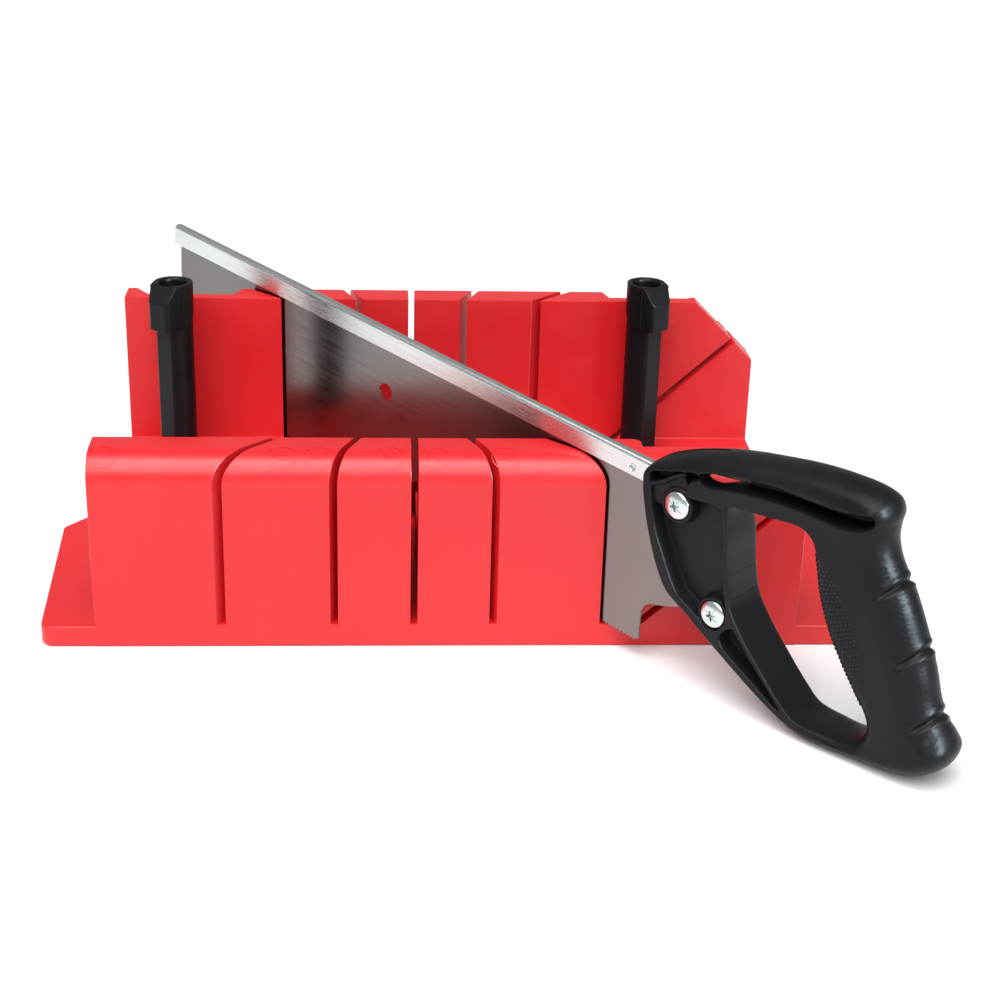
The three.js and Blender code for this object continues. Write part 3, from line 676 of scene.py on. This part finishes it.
def closed_curve(knots, step):
    """A smooth closed curve through rows of numbers whose first two are a place."""
    knots = np.array(knots, float)
    ahead = np.roll(knots, -1, axis=0)
    lengths = np.linalg.norm((ahead - knots)[:, :2], axis=1)
    slopes = (ahead - np.roll(knots, 1, axis=0)) / (lengths + np.roll(lengths, 1))[:, None]
    rows = []
    for i, length in enumerate(lengths):
        j = (i + 1) % len(knots)
        pieces = max(1, round(length / step))
        for k in range(pieces):
            u = k / pieces
            rows.append(
                (2 * u**3 - 3 * u**2 + 1) * knots[i] + (u**3 - 2 * u**2 + u) * length * slopes[i]
                + (3 * u**2 - 2 * u**3) * knots[j] + (u**3 - u**2) * length * slopes[j]
            )
    return np.array(rows)


def distance_to(loop, points):
    """Distance of every point from a closed loop."""
    starts = loop[:, :2]
    steps = np.roll(starts, -1, axis=0) - starts
    squares = (steps**2).sum(1)
    nearest = np.empty(len(points))
    for first in range(0, len(points), BATCH):
        part = points[first:first + BATCH]
        away = part[:, None] - starts
        along = np.clip((away * steps).sum(2) / squares, 0, 1)
        nearest[first:first + BATCH] = np.sqrt(((away - along[..., None] * steps) ** 2).sum(2).min(1))
    return nearest


def inside(loop, points):
    x, y = points[:, 0:1], points[:, 1:2]
    ax, ay = loop[:, 0], loop[:, 1]
    bx, by = np.roll(ax, -1), np.roll(ay, -1)
    crosses = (ay > y) != (by > y)
    with np.errstate(divide="ignore", invalid="ignore"):
        left = x < ax + (y - ay) * (bx - ax) / (by - ay)
    return (crosses & left).sum(1) % 2 == 1


def signed(loop, points):
    """Distance from a loop, positive inside it."""
    return np.where(inside(loop, points), 1, -1) * distance_to(loop, points)


def offset(loop, distance):
    """The loop's points moved inward."""
    places = loop[:, :2]
    tangents = np.roll(places, -1, axis=0) - np.roll(places, 1, axis=0)
    tangents /= np.linalg.norm(tangents, axis=1)[:, None]
    inward = np.stack([-tangents[:, 1], tangents[:, 0]], 1)
    area = (places[:, 0] * np.roll(places[:, 1], -1) - places[:, 1] * np.roll(places[:, 0], -1)).sum()
    return places + inward * np.reshape(distance, (-1, 1)) * math.copysign(1, area)


class HandleShape:
    """Half thickness of the handle at any place on the blade's plane."""

    STEP, HOLLOW_STEP, SMALL_STEP = 1.0, 0.9, 0.8
    # rings of vertices round the edges: angles round the swelling, and how close to the edge and to
    # each other they may come
    RING_TURNS, RING_FIRST, RING_PITCH = (10, 21, 33, 45, 57, 70, 84), 0.06, 0.11
    # spacing of the net, how close its vertices may come to each other, to an edge and to the gap,
    # and how far from the gap the skin begins to turn in
    GRID, MERGED, FROM_EDGE, FROM_GAP, GAP_FADE = 1.9, 0.06, 0.04, 0.15, 1.2
    # how a hollow's wall falls: distance in from its outline against what is left of its depth
    WALL_AT = (-0.9, -0.5, -0.2, 0.05, 0.3, 1.0, 1.4, 2.2)
    WALL_LEFT = (1.0, 0.985, 0.94, 0.84, 0.66, 0.12, 0.03, 0.0)

    def __init__(self):
        self.rim = closed_curve(HANDLE_RIM, self.STEP)
        self.finger = closed_curve(FINGER_RIM, self.STEP)
        self.gap = closed_curve(GAP_UNDER_WING, self.SMALL_STEP)
        self.pad = closed_curve(PAD, self.SMALL_STEP)
        hollows = ((CHEEK, WEB), (UNDER_WING, BAR), (LOWER_STRUT, WEB))
        self.hollows = [(closed_curve(outline, self.HOLLOW_STEP), floor) for outline, floor in hollows]
        edges = np.concatenate([self.rim, self.finger])
        self.places, self.traits = edges[:, :2], edges[:, 2:]

    def depth(self, points):
        """Distance in from the handle's own edges."""
        return np.minimum(distance_to(self.rim, points), distance_to(self.finger, points))

    def holds(self, points):
        return inside(self.rim, points) & ~inside(self.finger, points) & ~inside(self.gap, points)

    def rib_top(self, points):
        line = np.array(RIB, float)
        there_and_back = np.concatenate([line, line[-2:0:-1]])
        away = distance_to(there_and_back, points)
        return np.interp(away, (RIB_HALF - 0.5, RIB_HALF, RIB_HALF + 0.5), (RIB_TOP, RIB_TOP - 0.5, 0))

    def thickness(self, points):
        depth = self.depth(points)
        traits = np.empty((len(points), 3))
        for first in range(0, len(points), BATCH):
            away = ((points[first:first + BATCH, None] - self.places) ** 2).sum(2)
            weight = 1 / (away + 0.02) ** 2
            traits[first:first + BATCH] = weight @ self.traits / weight.sum(1)[:, None]
        reach, half, square = traits.T
        rest = 1 - np.clip(depth / reach, 0, 1)
        whole = half * (1 - rest**square) ** (1 / square)
        height = whole.copy()
        for loop, floor in self.hollows:
            left = np.interp(signed(loop, points), self.WALL_AT, self.WALL_LEFT)
            height = np.minimum(height, floor + (np.maximum(whole, floor) - floor) * left)
        for x, y in SCREWS.values():
            away = np.hypot(points[:, 0] - x, points[:, 1] - y)
            boss = np.interp(away, BOSS_EDGE, (BOSS_TOP, BOSS_TOP - 0.4, WEB + 1, 0))
            height = np.maximum(height, np.minimum(boss, whole))
            height = np.where(away < SCREW_HEAD + 0.25, np.minimum(height, SEAT), height)
        pad = np.interp(signed(self.pad, points), PAD_EDGE, (0, PAD_TOP - 0.4, PAD_TOP))
        height = np.maximum(height, np.minimum(pad, whole))
        height = np.maximum(height, np.minimum(self.rib_top(points), whole))
        fade = np.clip(distance_to(self.gap, points) / self.GAP_FADE, 0, 1)
        return np.where(depth < 1e-6, 0, height * (1 - (1 - fade) ** 2) ** 0.5)


def handle_points(shape):
    """Where the skin's vertices go, with the edges that its triangles must keep."""
    loops = [shape.rim[:, :2], shape.finger[:, :2], shape.gap[:, :2]]
    fixed = np.concatenate(loops)
    extra = []
    for loop, way in ((shape.rim, 1), (shape.finger, -1)):
        for ring, turn in enumerate(shape.RING_TURNS):
            least = shape.RING_FIRST + shape.RING_PITCH * ring
            deep = np.maximum(loop[:, 2] * (1 - math.cos(math.radians(turn))), least)
            extra.append(offset(loop, way * deep))
    extra += [offset(shape.gap, -out) for out in (0.25, 0.7, shape.GAP_FADE)]
    extra += [offset(loop, at) for loop, _ in shape.hollows for at in shape.WALL_AT]
    extra += [offset(shape.pad, at) for at in PAD_EDGE]
    for x, y in SCREWS.values():
        for radius in (SCREW_HEAD + 0.2, SCREW_HEAD + 0.35, *BOSS_EDGE):
            extra.append(np.array(arc((x, y), radius, 0, 360, 48)[:-1]))
    lines = [(start, end, 26, np.arange(-2.8, 2.9, 0.55)) for start, end in GROOVES]
    for start, end in zip(RIB, RIB[1:]):
        run = math.dist(start, end)
        lines.append((start, end, run, (-RIB_HALF - 0.5, -RIB_HALF, -0.6, 0, 0.6, RIB_HALF, RIB_HALF + 0.5)))
    for start, end, run, asides in lines:
        start, end = np.array(start), np.array(end)
        along = (end - start) / np.linalg.norm(end - start)
        across = np.array([-along[1], along[0]])
        for aside in asides:
            extra.append(np.array([start + along * t + across * aside for t in np.arange(0, run, 0.8)]))
    xs, ys = np.meshgrid(np.arange(20, 212, shape.GRID), np.arange(-82, 54, shape.GRID))
    extra.append(np.stack([xs.ravel(), ys.ravel()], 1))
    loose = np.concatenate(extra)
    loose = loose[shape.holds(loose)]
    clear = (shape.depth(loose) > shape.FROM_EDGE) & (distance_to(shape.gap, loose) > shape.FROM_GAP)
    loose = loose[clear]
    _, first = np.unique(np.round(loose / shape.MERGED), axis=0, return_index=True)
    loose = loose[np.sort(first)]
    edges, start = [], 0
    for loop in loops:
        count = len(loop)
        edges += [(start + i, start + (i + 1) % count) for i in range(count)]
        start += count
    return np.concatenate([fixed, loose]), edges, len(fixed)


def groove_depth(vertices, normals):
    """How far each vertex sinks into the grip's finger grooves."""
    sink = np.zeros(len(vertices))
    for start, end in GROOVES:
        start, end = np.array(start), np.array(end)
        length = np.linalg.norm(end - start)
        along = (end - start) / length
        away = vertices[:, :2] - start
        run = away @ along
        aside = away @ np.array([-along[1], along[0]])
        fade = np.clip((run - 1) / 5, 0, 1) * (run < length + 12)
        near_back = np.clip(normals[:, 0] * 2.2, 0, 1)
        sink += GROOVE_DEPTH * np.exp(-((aside / GROOVE_HALF) ** 2)) * fade * near_back
        sink -= LIP_RISE * np.exp(-(((np.abs(aside) - LIP_AT) / LIP_HALF) ** 2)) * fade * near_back
    return sink


def handle_skin(shape):
    """The handle as one closed mesh: a net of triangles on the blade's plane, swollen to both sides."""
    points, edges, on_edge = handle_points(shape)
    flat, _, faces, _, _, _ = delaunay_2d_cdt([Vector(p) for p in points], edges, [], 0, 1e-4, False)
    flat = np.array([tuple(p) for p in flat])
    centres = np.array([flat[list(face)].mean(0) for face in faces])
    faces = [face for face, keep in zip(faces, shape.holds(centres)) if keep]
    height = shape.thickness(flat)
    height[:on_edge] = 0
    count = len(flat)
    twin = {i: i if height[i] < 1e-6 else count + i for i in range(count)}
    vertices = np.concatenate([np.column_stack([flat, height]), np.column_stack([flat, -height])])
    both = [tuple(face) for face in faces] + [tuple(twin[i] for i in reversed(face)) for face in faces]
    skin = solid_from(vertices, both, "handle")
    mesh = bmesh.new()
    mesh.from_mesh(skin.data)
    bmesh.ops.delete(mesh, geom=[v for v in mesh.verts if not v.link_faces], context="VERTS")
    mesh.normal_update()
    places = np.array([tuple(v.co) for v in mesh.verts])
    normals = np.array([tuple(v.normal) for v in mesh.verts])
    places -= normals * groove_depth(places, normals)[:, None]
    for vertex, place in zip(mesh.verts, places):
        vertex.co = place
    mesh.to_mesh(skin.data)
    mesh.free()
    return skin


def grip_studs(shape):
    """Small diamond studs over the front of the grip, on both sides."""
    rim = closed_curve(FINGER_RIM, STUD_ROW)
    runs = offset(rim, -1.0) - rim[:, :2]
    ends = [np.linalg.norm(rim[:, :2] - end, axis=1) for end in (STUDS_FROM, STUDS_TO)]
    begin, finish = [int(away.argmin()) for away in ends]
    corners = [(STUD_HALF, 0), (0, STUD_HALF), (-STUD_HALF, 0), (0, -STUD_HALF)]
    vertices, faces = [], []
    for row, i in enumerate(range(begin, finish + 1)):
        share = (i - begin) / (finish - begin)
        inward = np.interp(share, STUDS_ALONG, STUDS_REACH)
        steps = np.concatenate([[0.0], np.geomspace(0.02, 16, 60)])
        line = rim[i, :2] + steps[:, None] * runs[i]
        heights = shape.thickness(line)
        heights[0] = 0
        arcs = np.concatenate([[0], np.cumsum(np.hypot(np.diff(steps), np.diff(heights)))])
        width = np.interp(inward, steps, arcs)
        for at in np.arange(0.5 + (row % 2) * STUD_STEP / 2, width, STUD_STEP):
            step = np.interp(at, arcs, steps)
            height = np.interp(at, arcs, heights)
            rise = (np.interp(at + 0.4, arcs, heights) - np.interp(at - 0.4, arcs, heights)) / 0.8
            tread = (np.interp(at + 0.4, arcs, steps) - np.interp(at - 0.4, arcs, steps)) / 0.8
            slope = Vector((*(runs[i] * tread), rise)).normalized()
            along = Vector((-runs[i][1], runs[i][0], 0)).normalized()
            for side in (1, -1):
                place = Vector((*(rim[i, :2] + runs[i] * step), side * height))
                u, v = along, Vector((slope.x, slope.y, side * slope.z))
                out = u.cross(v)
                if out.dot(Vector((-runs[i][0], -runs[i][1], side * 0.6))) < 0:
                    out = -out
                base = [place - out * STUD_ROOT + u * a + v * b for a, b in corners]
                top = [place + out * STUD_RISE + (u * a + v * b) * STUD_TOP for a, b in corners]
                first = len(vertices)
                vertices += base + top
                faces += [tuple(first + k for k in (0, 1, 2, 3)), tuple(first + k for k in (4, 5, 6, 7))]
                faces += ring_sides(4, first)
    return solid_from(vertices, faces, "studs")


def build_handle(black):
    shape = HandleShape()
    skin = handle_skin(shape)
    cut(skin, prism(CREST_SLIT, *SLIT_BETWEEN))
    gap = prism(LEANING_GAP, *GAP_BETWEEN)
    gap.data.transform(Matrix(((1, 0, GAP_LEAN[0], 0), (0, 1, GAP_LEAN[1], 0), (0, 0, 1, 0), (0, 0, 0, 1))))
    cut(skin, gap)
    smooth(skin, 38)
    studs = grip_studs(shape)
    finish_piece(skin, "handle_moulding", "saw", black, SAW_PLACE, ["saw_handle"])
    finish_piece(studs, "grip_studs", "saw", black, SAW_PLACE)


# ---------- blade, spine, screws

BLADE_HALF, TOOTH_LINE, TOOTH_PITCH, TOOTH_DEPTH = 0.45, -86.5, 2.3, 1.5
TOE_TOP, TOE_BOTTOM, HEEL = -330, -322, 33.5
HEEL_SHAPE = [(32.2, -68.8), (33.7, -64.8), (36.6, -62.3), (39.7, -61.5)]
INSIDE_HANDLE = [(52, -56.5), (60, -46), (80, -36), (70, -10), (58, 6.4)]
HANG_HOLE, HANG_HOLE_RADIUS = (-155.5, -24.3), 4.75
SPINE_HALF, SPINE_BOTTOM, SPINE_TOP, SPINE_CROWN = 2.8, 0.2, 11.8, 2.2
SPINE_TOE, SPINE_HEEL, DIMPLE_AT = -333, 30, (13.4, 4.9)
SAW_HEIGHT = 100.2  # Z of the saw's own origin, which lies over the front face
SHANK, BARREL_BORE, BARREL = 2.2, 2.5, 4.0
ARM_LONG, ARM_HALF, MARK_LONG, MARK_HALF = 4.2, 0.75, 4.6, 0.16


def saw_place():
    """From the saw's own axes (back, up, out of the near side) to the frame."""
    level = math.cos(SAW_TILT)
    back = Vector((math.cos(SAW_YAW) * level, math.sin(SAW_YAW) * level, math.sin(SAW_TILT)))
    out = Vector((math.sin(SAW_YAW), -math.cos(SAW_YAW), 0))
    turn = Matrix((back, out.cross(back), out)).transposed().to_4x4()
    return PLACE @ Matrix.Translation((SLOT_CROSSING, 0, SAW_HEIGHT)) @ turn


SAW_PLACE = saw_place()


def build_blade(steel):
    outline = [(TOE_TOP + 2, 6.4), (TOE_TOP, 4.4), (TOE_BOTTOM, TOOTH_LINE + TOOTH_DEPTH)]
    for i in range(int((HEEL - TOE_BOTTOM) // TOOTH_PITCH)):
        root = TOE_BOTTOM + i * TOOTH_PITCH
        outline += [(root + TOOTH_PITCH / 2, TOOTH_LINE), (root + TOOTH_PITCH, TOOTH_LINE + TOOTH_DEPTH)]
    outline += [(HEEL, TOOTH_LINE + TOOTH_DEPTH)] + HEEL_SHAPE + INSIDE_HANDLE
    plate = prism(outline, -BLADE_HALF, BLADE_HALF)
    cut(plate, round_bar(*HANG_HOLE, HANG_HOLE_RADIUS, -3, 3, 56))
    smooth(plate, 20)
    finish_piece(plate, "blade_plate", "saw", steel, SAW_PLACE, ["saw_blade"])


def build_spine(steel):
    """A strip folded round the blade's top edge, with a dimple near the handle."""
    slit, crown = BLADE_HALF + 0.12, SPINE_CROWN
    near = [(slit, SPINE_BOTTOM), (SPINE_HALF - 0.5, SPINE_BOTTOM), (SPINE_HALF, SPINE_BOTTOM + 0.5)]
    near += arc((SPINE_HALF - crown, SPINE_TOP - crown), crown, 0, 90, 10)
    section = near + [(-x, y) for x, y in reversed(near)] + [(-slit, SPINE_TOP - 3), (slit, SPINE_TOP - 3)]
    strip = prism(section, SPINE_TOE, SPINE_HEEL, lambda z, y, x: (x, y, z))
    dimple = turned([(0, -2), (1.5, -2), (1.7, -0.4), (2.5, 0.3), (2.5, 1.5), (0, 1.5)], 32)
    dimple.data.transform(Matrix.Translation((*DIMPLE_AT, SPINE_HALF)))
    cut(strip, dimple)
    round_edges(strip, 0.25, 2, 40)
    smooth(tidy(strip), 30)
    finish_piece(strip, "spine_strip", "saw", steel, SAW_PLACE, ["saw_spine"])


def cross_recess(deep):
    """A tapered cross with small marks between its arms."""
    parts = []
    for turn in (0, 90):
        arm = box_between((-ARM_LONG, ARM_LONG), (-ARM_HALF, ARM_HALF), (deep, deep + 6))
        for vertex in arm.data.vertices:
            if vertex.co.z < deep + 1:
                vertex.co.x *= 0.45
                vertex.co.y *= 0.6
        arm.data.transform(Matrix.Rotation(math.radians(turn + 20), 4, "Z"))
        mark = box_between((-MARK_LONG, MARK_LONG), (-MARK_HALF, MARK_HALF), (deep + 1, deep + 6))
        mark.data.transform(Matrix.Rotation(math.radians(turn + 65), 4, "Z"))
        parts += [arm, mark]
    return parts


def build_screw(which, zinc):
    """A domed screw in the near side and the sleeve nut that it goes into."""
    x, y = SCREWS[which]
    seat = SEAT + 0.3
    bends = np.radians(np.arange(90, -1, -9))
    dome = [(SCREW_HEAD * math.sin(a), seat + 0.5 + 2.3 * math.cos(a)) for a in bends]
    profile = [(0, -6), (SHANK, -6), (SHANK, seat), (SCREW_HEAD - 0.2, seat), (SCREW_HEAD, seat + 0.2)]
    head = turned(profile + dome[:-1] + [(0, seat + 2.8)], 64)
    cut(head, *cross_recess(seat + 0.7))
    head.data.transform(Matrix.Translation((x, y, 0)))
    smooth(tidy(head), 35)
    finish_piece(head, f"{which}_screw", "saw", zinc, SAW_PLACE, [f"handle_screw_{which}"])
    profile = [(0, -6.3), (BARREL_BORE, -6.3), (BARREL_BORE, 6), (BARREL, 6), (BARREL, -seat)]
    profile += [(SCREW_HEAD, -seat), (SCREW_HEAD, -seat - 0.6), (SCREW_HEAD * 0.93, -seat - 1.3)]
    profile += [(SCREW_HEAD * 0.6, -seat - 2.1)]
    nut = turned(profile + [(0, -seat - 2.4)], 56)
    slot = box_between((-SCREW_HEAD - 1, SCREW_HEAD + 1), (-0.8, 0.8), (-seat - 5, -seat - 1.5))
    cut(nut, slot)
    nut.data.transform(Matrix.Translation((x, y, 0)))
    smooth(tidy(nut), 35)
    finish_piece(nut, f"{which}_nut", "saw", zinc, SAW_PLACE, [f"handle_nut_{which}"])


# ---------- clamp posts

POST_OFFSET, POST_RADIUS, POST_FLAT, FLAT_TURN = 3.0, 10.0, 1.2, 38
CAP_RADIUS, CAP_RECESS, CAP_BOTTOM, CAP_TOP, CAP_DEPTH = 10.7, 7.5, 123.5, 148.0, 12.0
BEAK_TURN, BEAK_REACH, BEAK_HALF, BEAK_DROP = 30, 15.0, 7.0, 9.5
POST_GAP, POST_BORE = 0.3, 5.3
PIN_RADIUS, PIN_BOTTOM, PIN_TOP = 5, 28, 109.7
CAP_RIB_PITCH, CAP_RIB_RADIUS = 1.45, 0.5


def cap_outline():
    """Cap from above, its beak along +X: a ring, two straight flanks and a tip with round corners."""
    corner = 3.2
    tip = (BEAK_REACH - corner, BEAK_HALF - corner)
    flank = math.atan2(BEAK_HALF - CAP_RADIUS, BEAK_REACH)
    touch = 90 + math.degrees(flank)
    outline = arc((0, 0), CAP_RADIUS, touch, 360 - touch, 48)
    outline += arc((tip[0], -tip[1]), corner, -touch, 0, 8)
    outline += arc(tip, corner, 0, touch, 8)
    return outline


def build_cap(side, at, name, black):
    """A cap with a recess in its top, a beak that slopes down and an underside cut away behind."""
    cap = prism(cap_outline(), CAP_BOTTOM, CAP_TOP)
    start, far = CAP_RECESS + 1.2, 40
    slope = [(start, CAP_TOP), (BEAK_REACH, CAP_TOP - BEAK_DROP), (far, CAP_TOP - BEAK_DROP - far * 1.4)]
    slope += [(far, CAP_TOP + far), (start, CAP_TOP + far)]
    under = [(-far, CAP_BOTTOM - 5), (3, CAP_BOTTOM - 5), (3, CAP_BOTTOM), (-CAP_RADIUS - 1, CAP_BOTTOM + 13)]
    under += [(-far, CAP_BOTTOM + 13)]
    wall = CAP_RECESS
    recess = [(0, CAP_TOP - CAP_DEPTH), (wall - 0.4, CAP_TOP - CAP_DEPTH), (wall, CAP_TOP - 1.4)]
    recess += [(wall + 0.9, CAP_TOP + 0.01), (wall + 0.9, CAP_TOP + 5), (0, CAP_TOP + 5)]
    cut(cap, prism(slope, -far, far, along_y), prism(under, -far, far, along_y), turned(recess, 56))
    round_edges(cap, 0.55, 3, 28)
    smooth(tidy(cap), 40)
    ribs = cap_ribs()
    turn = Matrix.Rotation(math.radians(side * BEAK_TURN - 90), 4, "Z")
    place = PLACE @ Matrix.Translation((at[0], at[1] - POST_OFFSET, 0)) @ turn
    body, node = f"{name}_cam", f"{name}_post_cap"
    finish_piece(cap, f"{name}_cap_moulding", body, black, place, [node])
    finish_piece(ribs, f"{name}_cap_ribs", body, black, place)


def cap_ribs():
    """Fine upright ribs on both flanks of the cap."""
    vertices, faces = [], []
    for mirror in (1, -1):
        for along in np.arange(0.5, 9.1, CAP_RIB_PITCH):
            width = np.interp(along, (0, BEAK_REACH), (CAP_RADIUS + 0.05, BEAK_HALF + 0.55))
            low = CAP_BOTTOM + 1.2 + max(0, 3 - along) * 0.8
            high = CAP_TOP - 1.2 - max(0, along - CAP_RECESS - 1) * BEAK_DROP / 6
            ring = arc((along, mirror * (width - 0.1)), CAP_RIB_RADIUS, 0, 360, 10)[:-1]
            first = len(vertices)
            vertices += [(x, y, low) for x, y in ring] + [(x, y, high) for x, y in ring]
            faces += ring_sides(10, first)
            faces += [tuple(range(first, first + 10)), tuple(range(first + 10, first + 20))]
    return smooth(solid_from(vertices, faces, "ribs"), 50)


def build_post(side, at, black, zinc):
    """A post bored off its centre, the pin it turns on, and its cap."""
    name = "left" if side < 0 else "right"
    half = math.degrees(math.acos(1 - POST_FLAT / POST_RADIUS))
    flat = side * FLAT_TURN - 90
    outline = arc((0, 0), POST_RADIUS, flat + half, flat + 360 - half, 60)
    shaft = prism(outline, BED_TOP + POST_GAP, CAP_BOTTOM + 14)
    cut(shaft, round_bar(0, POST_OFFSET, POST_BORE, 0, 110, 40))
    round_edges(shaft, 0.5, 2, 40)
    smooth(tidy(shaft), 25)
    place = PLACE @ Matrix.Translation((at[0], at[1] - POST_OFFSET, 0))
    finish_piece(shaft, f"{name}_shaft", f"{name}_cam", black, place, [f"{name}_cam_post"])
    profile = [(0, PIN_BOTTOM), (PIN_RADIUS - 1.2, PIN_BOTTOM), (PIN_RADIUS, PIN_BOTTOM + 1.4)]
    profile += [(PIN_RADIUS, PIN_TOP - 1), (PIN_RADIUS - 0.8, PIN_TOP), (0, PIN_TOP)]
    pin = smooth(turned(profile, 40))
    place = PLACE @ Matrix.Translation((at[0], at[1], 0))
    finish_piece(pin, f"{name}_pin_rod", f"{name}_pin", zinc, place, [f"{name}_post_pin"])
    build_cap(side, at, name, black)


# ---------- angle marks

# X of each raised ring on the front wall's round, and the angle inside it
MARKS = [(-152.7, ""), (-65.2, "45"), (-47.2, "22.5"), (-12.3, "90"), (9.5, "90"), (44.8, "22.5")]
MARK_RADIUS, MARK_WIDTH, MARK_RISE, MARK_ROOT, MARK_Y = 7.2, 0.45, 0.3, 0.2, 7.6
MARK_STEPS, SHORT_TEXT, LONG_TEXT = 72, 7.5, 5.4


def on_round(x, along, rise):
    """A point on the round, `along` millimetres up over it from the place at MARK_Y."""
    start = math.acos((WALL_ROUND - MARK_Y) / WALL_ROUND)
    angle = start + along / WALL_ROUND
    radius = WALL_ROUND + rise
    return (x, WALL_ROUND - radius * math.cos(angle), WALL_TOP - WALL_ROUND + radius * math.sin(angle))


def number_faces(text, size):
    """A number as flat triangles round the origin."""
    curve = bpy.data.curves.new("number", "FONT")
    curve.body, curve.size = text, size
    curve.align_x, curve.align_y = "CENTER", "CENTER"
    curve.resolution_u = 3
    holder = bpy.data.objects.new("number", curve)
    bpy.context.scene.collection.objects.link(holder)
    bpy.context.view_layer.update()
    data = bpy.data.meshes.new_from_object(holder.evaluated_get(bpy.context.evaluated_depsgraph_get()))
    bpy.data.objects.remove(holder)
    places = [tuple(v.co)[:2] for v in data.vertices]
    faces = [tuple(p.vertices) for p in data.polygons]
    bpy.data.meshes.remove(data)
    return places, faces


def raised(places, faces):
    """Flat faces given a thickness, bent over the round: their top, underside and sides."""
    count = len(places)
    vertices = [on_round(x, y, rise) for rise in (MARK_RISE, -MARK_ROOT) for x, y in places]
    edges = dict.fromkeys((a, b) for face in faces for a, b in zip(face, face[1:] + face[:1]))
    sides = [(b, a, count + a, count + b) for a, b in edges if (b, a) not in edges]
    under = [tuple(count + i for i in reversed(face)) for face in faces]
    return vertices, list(faces) + under + sides


def build_marks(red):
    """A raised ring for each mark, with its angle inside it."""
    vertices, faces = [], []
    for x, text in MARKS:
        inner = arc((x, 0), MARK_RADIUS - MARK_WIDTH, 0, 360, MARK_STEPS)[:-1]
        ring = inner + arc((x, 0), MARK_RADIUS, 0, 360, MARK_STEPS)[:-1]
        outlines = [(ring, ring_sides(MARK_STEPS))]
        if text:
            places, flat = number_faces(text, SHORT_TEXT if len(text) < 3 else LONG_TEXT)
            outlines.append(([(x + px, py) for px, py in places], flat))
        for places, flat in outlines:
            first = len(vertices)
            corners, sheets = raised(places, flat)
            vertices += corners
            faces += [tuple(first + i for i in face) for face in sheets]
    finish_piece(solid_from(vertices, faces, "marks"), "angle_marks", "box", red)


# ---------- scene

add_camera()
red, black = red_plastic(), black_plastic()
blade_steel = steel("blade_steel", ((0.175, 0.163, 0.158), (0.205, 0.192, 0.186)), 30, (0.17, 0.24))
spine_steel = steel("spine_steel", ((0.6, 0.63, 0.63), (0.68, 0.71, 0.71)), 20, (0.22, 0.3))
zinc = steel("zinc_steel", ((0.55, 0.62, 0.64), (0.66, 0.72, 0.73)), 1, (0.18, 0.26))
build_miter_box(red)
build_marks(red)
build_handle(black)
build_blade(blade_steel)
build_spine(spine_steel)
for which in SCREWS:
    build_screw(which, zinc)
build_post(-1, HOLE_COLUMNS[0], black, zinc)
build_post(1, HOLE_COLUMNS[3], black, zinc)
add_studio()
